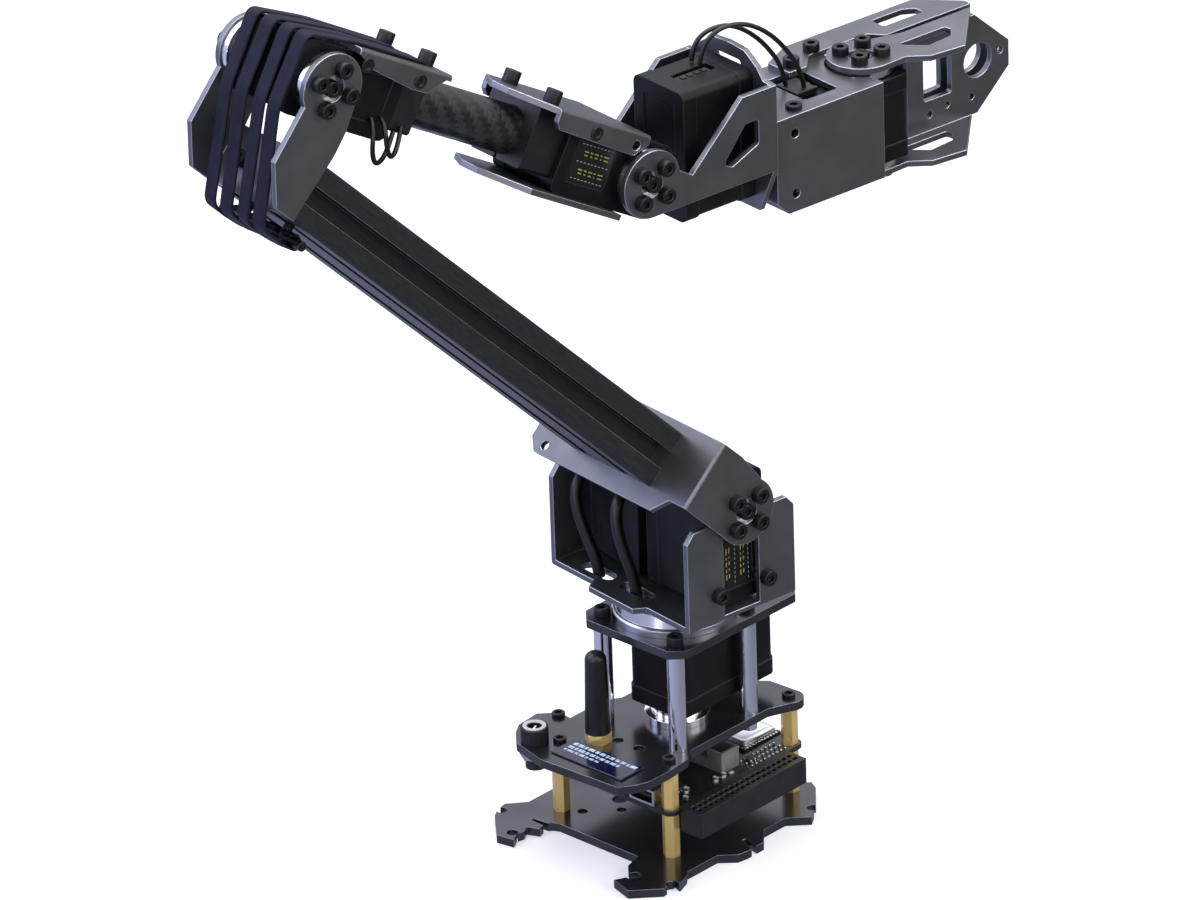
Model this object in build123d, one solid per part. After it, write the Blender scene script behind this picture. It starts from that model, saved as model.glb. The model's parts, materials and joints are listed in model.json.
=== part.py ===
from build123d import *
from math import cos, hypot, radians, sin, tan
import os

# A desk robot arm: a cut base plate with its driver board and deck, a tower with a turning
# turret, an upper arm of slotted extrusion, a forearm on a carbon tube, a wrist and a gripper.
# Millimetres. The row frame has +X forward, +Y left and +Z up. Its origin is on the desk,
# under the yaw axis.

# The links at rest, in degrees
REST_YAW = -7.5
ARM_LEAN = -45.0
FOREARM_DIP = 30.0

# The links' lengths
ELBOW_REACH = 236.82
ELBOW_OFFSET = 30.0
WRIST_REACH = 144.49
ROLL_DROP = 13.69
JAW_REACH = 105.0
JAW_SIDE = -1.0

# Sheet metal, screws and running gaps
SHEET = 2.0
BEND = 1.2
CUT_CORNER = 0.8
SCREW_R = 1.5
SCREW_HOLE_R = 1.65
THREAD_HOLE_R = 1.55
HEAD_R = 2.75
HEAD_TALL = 3.0
TALL_HEAD = 4.4
SCREW_GRIP = 4.0
RUN_GAP = 0.3
FIT_GAP = 0.05

# The servo, the same in all seven places
SERVO_LONG = 45.2
SERVO_WIDE = 24.7
SERVO_THICK = 29.0
SHAFT_FROM_END = 10.2
SERVO_CORNER = 3.0
SERVO_COVER = 5.5
SERVO_COVER_INSET = 0.35
SHAFT_R = 5.0
SHAFT_DEEP = 2.5
LABEL_LONG = 17.0
LABEL_WIDE = 15.0
LABEL_DEEP = 0.3
LABEL_FROM_END = 5.0
SOCKET_LONG = 15.0
SOCKET_WIDE = 5.5
SOCKET_DEEP = 4.5
HORN_R = 10.7
HORN_DISC = 2.6
HORN_HUB_R = 8.35
HORN_BOLTS = 4.75
CHEEK_R = 11.4
CHEEK_HOLE_R = 4.3

# Base plate
BASE_PLATE = 3.0
BASE_LEFT = -33.0
BASE_RIGHT = 37.8
BASE_HALF_WIDE = 36.3
BASE_CORNER_CUT = 6.0
BENCH_SPAN_X = 51.6
BENCH_SPAN_Y = 36.2
BENCH_HOLE_R = 1.7
BASE_WIRE_HOLE = (-7.9, 19.6)
BASE_WIRE_HOLE_R = 2.6
BASE_TIE_HOLE = (-12.9, 14.2)
NOTCH_R = 1.9

# Driver board on its standoffs
BOARD_X = 4.0
BOARD_Y = 5.3
STANDOFF_SPAN_X = 58.0
STANDOFF_SPAN_Y = 49.0
STANDOFF_FLATS = 5.0
LOWER_STANDOFF = 16.0
UPPER_STANDOFF = 14.0
BOARD = 1.6
BOARD_MARGIN = 3.6
BOARD_CORNER = 3.0
HEADER_LONG = 50.8
HEADER_WIDE = 9.2
HEADER_TALL = 9.0
HEADER_RISE = 1.0
HEADER_X = 1.3
RADIO_SIDE = 17.5
RADIO_TALL = 2.4
RADIO_X = 27.3
RADIO_Y = -3.7
PLUG_X = 6.5
PLUG_Y = -8.5
PLUG_LONG = 17.0
PLUG_WIDE = 8.4
PLUG_TALL = 7.2
PLUG_WALL = 1.0
USB_TALL = 5.6
USB_DEEP = 9.5
USB_WIDE = 11.0
USB_PITCH = 15.0
USB_WALL = 0.8

# Upper deck and what stands on it
LOOSE_SCREW = (-37.6, 17.4)
LOW_HEAD_R = 2.2
LOW_HEAD = 1.5
DECK = 3.0
DECK_EDGE_R = 5.0
DISPLAY_X = (-45.5, -34.6)
DISPLAY_Y = (-17.0, 14.0)
DISPLAY_TALL = 0.7
DISPLAY_CARD = 2.0
JACK_X = -43.1
JACK_Y = 23.4
JACK_R = 4.6
JACK_TALL = 6.2
JACK_BORE_R = 2.6
JACK_LIP = 1.2
JACK_TAIL = 6.0
ANTENNA_X = -29.4
ANTENNA_Y = 8.0
ANTENNA_NUT = 3.5
ANTENNA_FLATS = 8.0
ANTENNA_FOOT_R = 4.25
ANTENNA_TOP_R = 3.5
ANTENNA_TALL = 29.0
ANTENNA_CROWN = 0.8

# Tower
PILLAR_R = 3.0
PILLAR_TALL = 35.4
PILLAR_SPAN_X = 34.2
PILLAR_SPAN_Y = 32.2
PILLAR_FOOT = 3.0
PILLAR_FOOT_R = 2.6
TURNTABLE = 3.0
TURNTABLE_BACK = -22.8
TURNTABLE_FRONT = 38.6
TURNTABLE_WIDE = 44.6
TURNTABLE_CUT = 4.5
BEARING_R = 20.4
BEARING_STEP_R = 19.2
BEARING_STEP = 3.0
BEARING_TALL = 7.0
RACE_R = 15.2
INNER_RING_R = 19.4
BRACKET_HEIGHT = 12.0

# Shoulder bracket
EAR_OUTER = 34.9
EAR_SPAN = 44.8
EAR_GAP = 14.8
EAR_TALL = 35.5
EAR_SCREW_X = 10.0
EAR_SCREW_Z = 10.2
TAB_LONG = 4.0
TAB_WIDE = 22.0
SLOT_LONG = 15.0
SLOT_WIDE = 5.0
SHOULDER_CHEEK = 36.2
SHOULDER_SERVO_GAP = 5.0
SHOULDER_FLOOR_GAP = 1.06
SLEEVE_R = 2.0
SLEEVE_SLOTS = (-2.0, 17.0)
SLEEVE_SLOT_X = -17.0

# Upper arm
WEB_IN = 23.0
ARM_CHEEK_FRONT = 13.2
ARM_CHEEK_BACK = -11.2
LIP_BACK = -16.8
LIP_CUT = 5.0
LIP_STEP = 8.0
LIP_HOLE_IN = 3.4
EXTRUSION_X = 20.0
EXTRUSION_Y = 40.0
T_SLOT_OPEN = 6.2
T_SLOT_DEEP = 6.0
T_SLOT_INNER = 11.0
T_SLOT_LIP = 1.8
EXTRUSION_CORE_R = 2.1
ELBOW_WEB = 16.0
ELBOW_CHEEK = 20.0
ELBOW_SCREW_TURN = -33.0
ELBOW_TOP_CUT = 11.0
BAND_BAR_R = 1.6
BAND_BAR_BACK = 4.4
BAND_BAR_DOWN = 10.0
BAND_BAR_LONG = 40.0

# Rubber bands
BAND_THICK = 1.2
BAND_WIDE = 4.2
BAND_PLACES = (-13.4, -5.6, 3.2, 11.2)

# Forearm
FOREARM_CAP = (8.0, 48.2)
FOREARM_FLANGE_SCREWS = (12.6, 35.9)
FOREARM_SCREW_DOWN = 4.6
FOREARM_LEAD_R = 0.8
FOREARM_FLANGE_OUT = 19.4
FLANGE_DOWN = 7.6
TUBE_R = 8.0
TUBE_BORE_R = 6.5
TUBE_Z = 1.2
CLAMP_LONG = 11.4
CLAMP_WIDE = 24.0
CLAMP_BELOW = 1.7
FRONT_CLAMP_LONG = 13.5
BAND_SCREW_X = 43.5
BAND_SCREW_Y = 10.3
MOUNT_APEX = 87.0
MOUNT_SHOULDER = 98.0
MOUNT_FLANGE_OUT = 19.0
MOUNT_END = 139.0
MOUNT_SCREW_X = 100.5
MOUNT_FLANGE_SCREWS = (115.8, 134.0)
MOUNT_SCREW_DOWN = 4.2
FLAT_HEAD_R = 2.4
FLAT_HEAD = 0.5

# Wrist bracket
WRIST_CHEEK = 19.4
WRIST_PANEL_X = 50.0
WRIST_BOTTOM = -11.4
WRIST_TOP = 18.3
ARCH_TOP = 27.2
PANEL_BOTTOM = -27.5
HANDLE_SLOT = (13.0, 3.2)
HANDLE_SLOT_Z = 21.0
PANEL_SCREW_Y = 9.0
PANEL_SCREW_UP = (14.8, 30.0)
PANEL_HEAD = 1.6
GRIPPER_LEAD_R = 0.8

# Gripper
FRAME_BACK = 54.7
FRAME_FRONT = 100.0
FRAME_OUTER = 17.6
FRAME_HALF_TALL = 16.85
FRAME_CUT = 4.6
ROOF_WINDOW = (14.0, 20.0)
ROOF_WINDOW_IN = 9.5
JAW_ARM_IN = 17.6
JAW_FACE_OUT = 3.0
FIXED_FACE_IN = 6.5
JAW_FACE_BACK = 126.0
FIXED_FACE_BACK = 122.0
JAW_TIP = 170.0
FLANGE_INNER = 11.5
FLANGE_SHORT = 11.5
FLANGE_OUTER = 22.0
ROUND_WINDOW_R = 6.0

# Worked out from the sizes above
SERVO_HALF = SERVO_THICK / 2
SERVO_SIDE = SERVO_WIDE / 2
SERVO_REACH = SERVO_LONG - SHAFT_FROM_END
BOARD_Z = BASE_PLATE + LOWER_STANDOFF
BOARD_TOP = BOARD_Z + BOARD
DECK_Z = BOARD_TOP + UPPER_STANDOFF
DECK_TOP = DECK_Z + DECK
TURNTABLE_Z = DECK_TOP + PILLAR_TALL
TURNTABLE_TOP = TURNTABLE_Z + TURNTABLE
BRACKET_Z = TURNTABLE_TOP + BRACKET_HEIGHT
SHOULDER_HEIGHT = BRACKET_Z + SHEET + SHOULDER_FLOOR_GAP + SERVO_REACH
YAW_SERVO_Z = TURNTABLE_Z - SERVO_HALF
BOARD_FRONT_Y = BOARD_Y - STANDOFF_SPAN_Y / 2 - BOARD_MARGIN
STANDOFFS = [
    (BOARD_X + sx * STANDOFF_SPAN_X / 2, BOARD_Y + sy * STANDOFF_SPAN_Y / 2)
    for sx, sy in ((-1, -1), (1, -1), (1, 1), (-1, 1))
]
PILLARS = [
    (sx * PILLAR_SPAN_X / 2, sy * PILLAR_SPAN_Y / 2) for sx, sy in ((-1, -1), (1, -1), (1, 1), (-1, 1))
]
SHOULDER_CASE = SHOULDER_CHEEK - SHOULDER_SERVO_GAP
FOREARM_TURN = FOREARM_DIP - ARM_LEAN
ELBOW_WEB_Z = ELBOW_REACH - ELBOW_WEB
GRIP_Z = -ROLL_DROP
FRAME_TOP = GRIP_Z + FRAME_HALF_TALL
FRAME_BOTTOM = GRIP_Z - FRAME_HALF_TALL

# The frame of each link, at rest
BASE = Pos(0, 0, 0)
TURRET = Rot(0, 0, REST_YAW)
ARM = TURRET * Pos(0, 0, SHOULDER_HEIGHT) * Rot(0, ARM_LEAN, 0)
FOREARM = ARM * Pos(ELBOW_OFFSET, 0, ELBOW_REACH) * Rot(0, FOREARM_TURN, 0)
HAND = FOREARM * Pos(WRIST_REACH, 0, 0) * Rot(0, -FOREARM_DIP, 0)


def solids_of(pieces, place):
    """Every solid of a list of pieces, moved to its link's place."""
    return [solid for piece in pieces for solid in (place * piece).solids()]


def save(name, pieces, place):
    export_step(Compound(solids_of(pieces, place)), f"parts/{name}.step")


def block(x, y, z):
    """A box between two limits along each axis."""
    centre = [(low + high) / 2 for low, high in (x, y, z)]
    return Pos(*centre) * Box(x[1] - x[0], y[1] - y[0], z[1] - z[0])


def bar(radius, start, end):
    """A round bar between two points."""
    line = Vector(*end) - Vector(*start)
    place = Plane(origin=start, z_dir=line)
    return place * Cylinder(radius, line.length, align=(Align.CENTER, Align.CENTER, Align.MIN))


def hexagon(flats, z, height):
    """A six-sided bar standing on z."""
    outline = RegularPolygon(flats / 2, 6, major_radius=False)
    return extrude(Pos(0, 0, z) * outline, amount=height, dir=(0, 0, 1))


def sheet_z(outline, low, high):
    """A flat sheet from an outline drawn in X and Y."""
    return extrude(Plane.XY.offset(low) * outline, amount=high - low, dir=(0, 0, 1))


def sheet_y(outline, low, high):
    """A flat sheet from an outline drawn in X and Z."""
    return extrude(Plane.XZ.offset(-high) * outline, amount=high - low, dir=(0, -1, 0))


def sheet_x(outline, low, high):
    """A flat sheet from an outline drawn in Y and Z."""
    return extrude(Plane.YZ.offset(low) * outline, amount=high - low, dir=(1, 0, 0))


def outline(*points):
    return Polygon(*points, align=None)


def dot(x, y, radius):
    return Pos(x, y) * Circle(radius)


def both_sides(make, *limits):
    """The same piece on the near and the far side of a link, mirrored across its middle."""
    piece = make(*limits)
    return [piece, mirror(piece, about=Plane.XZ)]


def screw(place, toward, grip=SCREW_GRIP, head=HEAD_TALL, head_r=HEAD_R):
    """A socket screw: its head sits on a face at place and its shank runs the other way."""
    out = Vector(*toward)
    seat = Vector(*place)
    return bar(head_r, seat, seat + out * head) + bar(SCREW_R, seat - out * grip, seat)


def bolt_square(turned=0.0):
    """The four places of a horn's screws about its axis."""
    radius = hypot(HORN_BOLTS, HORN_BOLTS)
    angles = [radians(45 + 90 * turn + turned) for turn in range(4)]
    return [(radius * cos(angle), radius * sin(angle)) for angle in angles]


def servo():
    """A servo about its shaft: the shaft along Y, the case along X, three moulded shells."""
    centre = SERVO_LONG / 2 - SHAFT_FROM_END
    cover = Pos(centre, 0) * RectangleRounded(SERVO_LONG, SERVO_WIDE, SERVO_CORNER)
    inset = 2 * SERVO_COVER_INSET
    waist = Pos(centre, 0) * RectangleRounded(SERVO_LONG - inset, SERVO_WIDE - inset, SERVO_CORNER)
    inner = SERVO_HALF - SERVO_COVER
    shaft_hole = dot(0, 0, SHAFT_R + FIT_GAP)
    near = sheet_y(cover, -SERVO_HALF, -inner)
    near -= sheet_y(shaft_hole, -SERVO_HALF, -SERVO_HALF + SHAFT_DEEP + RUN_GAP)
    label_x = SERVO_REACH - LABEL_LONG / 2 - LABEL_FROM_END
    label = Pos(label_x, 0) * Rectangle(LABEL_LONG, LABEL_WIDE)
    near -= sheet_y(label, -SERVO_HALF, -SERVO_HALF + LABEL_DEEP)
    far = mirror(near, about=Plane.XZ)
    middle = sheet_y(waist, -inner, inner)
    socket_x = SERVO_REACH - SOCKET_DEEP
    long, wide = SOCKET_LONG / 2, SOCKET_WIDE / 2
    pocket = block((socket_x, SERVO_REACH), (-long, long), (-wide, wide))
    return [near, middle - pocket, far]


def turned_servo(place):
    return [place * shell for shell in servo()]


def horn(reach, disc_thick=HORN_DISC):
    """A horn disc on the shaft that leaves the case on the far side, its face at reach."""
    disc = bar(HORN_R, (0, reach - disc_thick, 0), (0, reach, 0))
    hub = bar(HORN_HUB_R, (0, SERVO_HALF + RUN_GAP, 0), (0, reach, 0))
    shaft = bar(SHAFT_R, (0, SERVO_HALF - SHAFT_DEEP, 0), (0, reach, 0))
    return disc + hub + shaft


def drilled_horn(reach, turned=0.0, disc_thick=HORN_DISC):
    """A horn with its four threaded holes and the centre screw's hole."""
    body = horn(reach, disc_thick)
    for x, z in bolt_square(turned) + [(0, 0)]:
        body -= bar(THREAD_HOLE_R, (x, reach - HORN_DISC, z), (x, reach, z))
    return body


def horn_screws(reach, sheet, turned=0.0):
    """Four screws through a cheek into its horn, and the shaft's own screw in the middle."""
    seat = reach + sheet
    ring = [screw((x, seat, z), (0, 1, 0), sheet + HORN_DISC - FIT_GAP) for x, z in bolt_square(turned)]
    return ring + [screw((0, reach, 0), (0, 1, 0), HORN_DISC)]


def cheek_holes(low, high, turned=0.0):
    """What a cheek loses for a horn: the clearance hole and four screw holes."""
    holes = bar(CHEEK_HOLE_R, (0, low, 0), (0, high, 0))
    for x, z in bolt_square(turned):
        holes += bar(SCREW_HOLE_R, (x, low, z), (x, high, z))
    return holes


def near_and_far(pieces):
    """The pieces and their mirror images across the link's middle."""
    return pieces + [mirror(piece, about=Plane.XZ) for piece in pieces]


def base_outline():
    """The base plate: a rectangle with cut hooks at the corners and small lugs along two edges."""
    low = BOARD_Y - BASE_HALF_WIDE
    high = BOARD_Y + BASE_HALF_WIDE
    cut = BASE_CORNER_CUT
    core = outline(
        (BASE_LEFT, low), (BASE_RIGHT - cut, low), (BASE_RIGHT, low + cut),
        (BASE_RIGHT, high - cut), (BASE_RIGHT - cut, high), (BASE_LEFT, high),
    )
    far_hook = outline(
        (-16.8, 40.7), (-28.1, 41.3), (-34.4, 46.7), (-39.0, 45.8), (-42.6, 43.5), (-51.7, 34.0),
        (-50.6, 27.4), (-47.0, 29.4), (-44.5, 28.6), (-41.4, 30.2), (-39.7, 26.0), (-36.1, 27.1),
        (-33.9, 25.5), (-33.0, 23.3), (-20.0, 23.0),
    )
    near_hook = outline(
        (-32.0, -11.1), (-39.8, -13.4), (-45.1, -18.7), (-49.7, -16.3), (-52.2, -24.8), (-43.8, -32.9),
        (-37.1, -31.5), (-38.0, -34.6), (-32.6, -32.7), (-30.4, -31.0), (-20.0, -25.0),
    )
    near_lug = outline((-16.0, low), (-11.4, -35.9), (-7.3, -36.6), (0.5, -36.5), (6.6, low), (0.0, -24.0))
    corner_lug = outline(
        (17.0, low), (23.3, -37.1), (30.3, -32.6), (39.1, -24.7), (41.2, -21.0), (37.8, -17.6), (24.0, -22.0),
    )
    plate = core + far_hook + near_hook
    for lug in (near_lug, corner_lug):
        plate = plate + lug + mirror(lug, about=Plane.XZ.offset(-BOARD_Y))
    for x, y in ((-38.2, 44.6), (-47.2, 31.2), (-40.0, -32.6), (28.3, -33.0), (28.3, 43.6)):
        plate -= dot(x, y, NOTCH_R)
    plate -= outline((-46.2, -19.6), (-42.4, -21.6), (-40.8, -18.6), (-45.1, -16.0))
    plate -= outline((-37.0, 32.2), (-35.6, 32.2), (-34.9, 24.5), (-37.2, 25.5))
    plate -= outline((-6.0, -38.0), (-3.4, -38.0), (-1.6, -30.6), (-3.2, -30.2))
    return plate


def base_plate():
    plate = base_outline()
    for x, y in STANDOFFS:
        plate -= dot(x, y, SCREW_HOLE_R)
    for x, y in bench_holes():
        plate -= dot(x, y, BENCH_HOLE_R)
    plate -= dot(*BASE_WIRE_HOLE, BASE_WIRE_HOLE_R)
    plate -= dot(*BASE_TIE_HOLE, SCREW_HOLE_R)
    return [sheet_z(plate, 0, BASE_PLATE)]


def bench_holes():
    half_x = BENCH_SPAN_X / 2
    half_y = BENCH_SPAN_Y / 2
    return [(BOARD_X + sx * half_x, BOARD_Y + sy * half_y) for sx, sy in ((-1, -1), (1, -1), (1, 1), (-1, 1))]


def standoffs(low, length):
    """Four hexagonal brass standoffs between two boards, threaded from end to end."""
    pieces = []
    for x, y in STANDOFFS:
        body = hexagon(STANDOFF_FLATS, low, length)
        body -= bar(THREAD_HOLE_R, (0, 0, low), (0, 0, low + length))
        pieces.append(Pos(x, y, 0) * body)
    return pieces


def driver_board():
    board = Pos(BOARD_X, BOARD_Y) * RectangleRounded(
        STANDOFF_SPAN_X + 2 * BOARD_MARGIN, STANDOFF_SPAN_Y + 2 * BOARD_MARGIN, BOARD_CORNER
    )
    for x, y in STANDOFFS:
        board -= dot(x, y, SCREW_HOLE_R)
    return [sheet_z(board, BOARD_Z, BOARD_TOP)]


def pin_header():
    """The two-row socket strip along the board's near edge, open at each pin."""
    x = (HEADER_X - HEADER_LONG / 2, HEADER_X + HEADER_LONG / 2)
    y = (BOARD_FRONT_Y - HEADER_WIDE, BOARD_FRONT_Y)
    top = BOARD_TOP + HEADER_RISE
    return [block(x, y, (top - HEADER_TALL, top))]


def radio_module():
    x = (RADIO_X - RADIO_SIDE / 2, RADIO_X + RADIO_SIDE / 2)
    y = (RADIO_Y - RADIO_SIDE / 2, RADIO_Y + RADIO_SIDE / 2)
    return [block(x, y, (BOARD_TOP, BOARD_TOP + RADIO_TALL))]


def bus_connector():
    """The wire-to-board header: an open box with a polarising slot in its near wall."""
    x = (PLUG_X - PLUG_WIDE / 2, PLUG_X + PLUG_WIDE / 2)
    y = (PLUG_Y - PLUG_LONG / 2, PLUG_Y + PLUG_LONG / 2)
    top = BOARD_TOP + PLUG_TALL
    shell = block(x, y, (BOARD_TOP, top))
    well_x = (x[0] + PLUG_WALL, x[1] - PLUG_WALL)
    well_y = (y[0] + PLUG_WALL, y[1] - PLUG_WALL)
    shell -= block(well_x, well_y, (BOARD_TOP + 2 * PLUG_WALL, top))
    shell -= block((x[0], x[0] + PLUG_WALL), (PLUG_Y - 2, PLUG_Y + 2), (top - PLUG_TALL / 2, top))
    return [shell]


def usb_ports():
    """A row of three steel sockets at the board's back edge."""
    back = BOARD_X - STANDOFF_SPAN_X / 2 - BOARD_MARGIN
    pieces = []
    for step in (-1, 0, 1):
        y = BOARD_Y + step * USB_PITCH
        low, high = y - USB_WIDE / 2, y + USB_WIDE / 2
        shell = block((back, back + USB_DEEP), (low, high), (BOARD_TOP, BOARD_TOP + USB_TALL))
        mouth = block(
            (back, back + USB_DEEP - 2), (low + USB_WALL, high - USB_WALL),
            (BOARD_TOP + USB_WALL, BOARD_TOP + USB_TALL - USB_WALL),
        )
        pieces.append(shell - mouth)
    return pieces


def deck_outline():
    """The upper deck: a display wing at the back, a lobe for the jack and an arm to each standoff."""
    plate = outline(
        (-51.0, 13.4), (-49.2, -18.9), (-44.9, -22.0), (-39.6, -24.1), (-29.8, -24.2), (-20.4, -23.2),
        (-15.0, -19.8), (22.0, -19.8), (29.4, -22.8), (37.9, -19.4), (37.3, -6.9), (33.8, -2.6),
        (33.8, 13.2), (37.3, 17.5), (37.9, 30.0), (29.4, 33.4), (22.0, 30.4), (14.0, 30.4), (8.0, 22.3),
        (-2.5, 22.5), (-7.1, 25.8), (-23.7, 25.8), (-23.5, 28.0), (-24.0, 32.0), (-28.5, 36.3),
        (-37.9, 35.5), (-42.6, 32.5), (-47.5, 27.5),
    )
    for x, y in STANDOFFS[1:3]:
        plate += dot(x, y, DECK_EDGE_R)
    return plate


def upper_deck():
    plate = deck_outline()
    for x, y in STANDOFFS + PILLARS + [LOOSE_SCREW]:
        plate -= dot(x, y, SCREW_HOLE_R)
    for x, y in ((-25.2, 3.1), (-24.9, -5.9)):
        plate -= dot(x, y, 1.9)
    plate -= dot(JACK_X, JACK_Y, JACK_R - JACK_LIP)
    plate -= dot(ANTENNA_X, ANTENNA_Y, SCREW_HOLE_R)
    return [sheet_z(plate, DECK_Z, DECK_TOP)]


def display_panel():
    """The display's glass on the deck and its card with a row of parts underneath."""
    glass = block(DISPLAY_X, DISPLAY_Y, (DECK_TOP, DECK_TOP + DISPLAY_TALL))
    card = block(DISPLAY_X, DISPLAY_Y, (DECK_Z - DISPLAY_CARD, DECK_Z))
    return [glass, card]


def power_jack():
    """The jack's knurled ring on the deck, its bore, and its tail and nut below."""
    top = DECK_TOP + JACK_TALL
    ring = bar(JACK_R, (0, 0, DECK_TOP), (0, 0, top)) - bar(JACK_BORE_R, (0, 0, DECK_TOP + 1), (0, 0, top))
    tail = bar(JACK_R - JACK_LIP - FIT_GAP, (0, 0, DECK_Z - JACK_TAIL), (0, 0, DECK_TOP))
    nut = hexagon(2 * JACK_R, DECK_Z - 2, 2) - bar(JACK_R - JACK_LIP, (0, 0, DECK_Z - 2), (0, 0, DECK_Z))
    return [Pos(JACK_X, JACK_Y, 0) * (ring + tail), Pos(JACK_X, JACK_Y, 0) * nut]


def antenna():
    """A tapered rod with a rounded top, screwed on to its nut."""
    rod = Cone(ANTENNA_FOOT_R, ANTENNA_TOP_R, ANTENNA_TALL, align=(Align.CENTER, Align.CENTER, Align.MIN))
    rim = rod.edges().sort_by(Axis.Z)[-1]
    rod = fillet(rim, ANTENNA_TOP_R - ANTENNA_CROWN)
    return [Pos(ANTENNA_X, ANTENNA_Y, DECK_TOP + ANTENNA_NUT) * rod]


def antenna_nut():
    stud = bar(SCREW_R, (0, 0, DECK_Z), (0, 0, DECK_TOP + ANTENNA_NUT))
    return [Pos(ANTENNA_X, ANTENNA_Y, 0) * (hexagon(ANTENNA_FLATS, DECK_TOP, ANTENNA_NUT) + stud)]


def deck_screws():
    """Low screws that hold the deck and base plate on the standoffs."""
    places = STANDOFFS + [LOOSE_SCREW]
    return [screw((x, y, DECK_TOP), (0, 0, 1), DECK + 4, LOW_HEAD, LOW_HEAD_R) for x, y in places]


def pillars():
    """Round steel pillars, threaded at both ends, each on a hexagonal foot nut under the deck."""
    pieces = []
    for x, y in PILLARS:
        body = bar(PILLAR_R, (x, y, DECK_TOP), (x, y, TURNTABLE_Z))
        body += bar(SCREW_R, (x, y, DECK_Z), (x, y, DECK_TOP))
        body -= bar(THREAD_HOLE_R, (x, y, TURNTABLE_Z - 8), (x, y, TURNTABLE_Z))
        body += bar(PILLAR_FOOT_R, (x, y, DECK_Z - PILLAR_FOOT), (x, y, DECK_Z))
        pieces.append(body)
    return pieces


def pillar_screws():
    return [screw((x, y, TURNTABLE_TOP), (0, 0, 1), TURNTABLE + 5) for x, y in PILLARS]


def turntable_plate():
    width = TURNTABLE_WIDE / 2
    cut = TURNTABLE_CUT
    back, front = TURNTABLE_BACK, TURNTABLE_FRONT
    plate = outline(
        (back + cut, -width), (front - cut, -width), (front, cut - width), (front, width - cut),
        (front - cut, width), (back + cut, width), (back, width - cut), (back, cut - width),
    )
    plate -= dot(0, 0, HORN_R + 2 * RUN_GAP)
    for x, y in PILLARS:
        plate -= dot(x, y, SCREW_HOLE_R)
    return [sheet_z(plate, TURNTABLE_Z, TURNTABLE_TOP)]


def ring(points):
    """A turned ring from its section, given as radius and height."""
    return revolve(Plane.XZ * outline(*points), axis=Axis.Z)


def bearing_outer_ring():
    """The fixed ring of the slewing bearing: a flange on the turntable with a raised, tapered race."""
    low = TURNTABLE_TOP
    step = low + BEARING_STEP
    top = low + BEARING_TALL
    return [ring([
        (RACE_R, low), (BEARING_R, low), (BEARING_R, step - 0.6), (BEARING_R - 0.6, step),
        (BEARING_STEP_R, step), (BEARING_STEP_R - 1.2, top), (RACE_R, top),
    ])]


def bearing_inner_ring():
    """The turning ring: a drum inside the race with a flange over it that carries the bracket."""
    top = BRACKET_Z
    race = RACE_R - RUN_GAP
    flange = TURNTABLE_TOP + BEARING_TALL + RUN_GAP
    seat = TURNTABLE_TOP + HORN_DISC
    body = ring([
        (CHEEK_HOLE_R, seat), (HORN_R, seat), (race, seat), (race, flange), (INNER_RING_R - 1.4, flange),
        (INNER_RING_R, top - 2), (INNER_RING_R, top), (CHEEK_HOLE_R, top),
    ])
    for x, y in bolt_square():
        body -= bar(SCREW_HOLE_R, (x, y, seat), (x, y, top))
        body -= bar(HEAD_R + FIT_GAP, (x, y, seat + 2 * HEAD_TALL), (x, y, top))
    return [body]


def yaw_place():
    """The yaw servo hangs under the turntable with its shaft up and its case forward."""
    return Pos(0, 0, YAW_SERVO_Z) * Rot(90, 0, 0)


def yaw_horn():
    return [yaw_place() * drilled_horn(SERVO_HALF + TURNTABLE + HORN_DISC)]


def yaw_idler_disc():
    """The plain disc that the yaw servo stands on, on the shaft's lower end."""
    reach = YAW_SERVO_Z - DECK_TOP
    return [Pos(0, 0, YAW_SERVO_Z) * Rot(-90, 0, 0) * horn(reach)]


def bearing_screws():
    seat = TURNTABLE_TOP + HORN_DISC + 2 * HEAD_TALL
    return [screw((x, y, seat), (0, 0, 1), 2 * HEAD_TALL + HORN_DISC) for x, y in bolt_square()]


def ear_outline():
    """One wall of the shoulder bracket: two ears with cut corners beside a deep gap."""
    half = EAR_SPAN / 2
    gap = EAR_GAP / 2
    low = BRACKET_Z
    top = low + EAR_TALL
    wall = None
    for side in (-1, 1):
        ear = outline(
            (side * gap, low), (side * half, low), (side * half, top - 3.5), (side * (half - 3), top),
            (side * (gap + 6), top), (side * gap, top - 2),
        )
        ear -= dot(side * EAR_SCREW_X, low + EAR_SCREW_Z, SCREW_HOLE_R)
        wall = ear if wall is None else wall + ear
    return wall


def shoulder_bracket():
    """The folded turret bracket: a floor with lead slots and a back tab, and four standing ears."""
    half = EAR_SPAN / 2
    tab = TAB_WIDE / 2
    floor = Rectangle(EAR_SPAN, 2 * EAR_OUTER)
    floor += outline(
        (-half + 1, -tab - 3), (-half - TAB_LONG, -tab), (-half - TAB_LONG, tab), (-half + 1, tab + 3)
    )
    for y in SLEEVE_SLOTS:
        floor -= Pos(SLEEVE_SLOT_X, y) * SlotOverall(SLOT_LONG, SLOT_WIDE, rotation=90)
    for x, y in bolt_square():
        floor -= dot(x, y, HEAD_R + FIT_GAP)
    body = sheet_z(floor, BRACKET_Z, BRACKET_Z + SHEET)
    for wall in both_sides(sheet_y, ear_outline(), EAR_OUTER - SHEET, EAR_OUTER):
        body += wall
    creases = body.edges().filter_by(Axis.X).group_by(Axis.Z)[0].sort_by(Axis.Y)
    return [fillet([creases[0], creases[-1]], BEND)]


def shoulder_servo_place(side):
    """Shaft out to one side, case hanging down from the shoulder axis."""
    return Pos(0, side * (SHOULDER_CASE - SERVO_HALF), SHOULDER_HEIGHT) * Rot(0, 90, 0)


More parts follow.
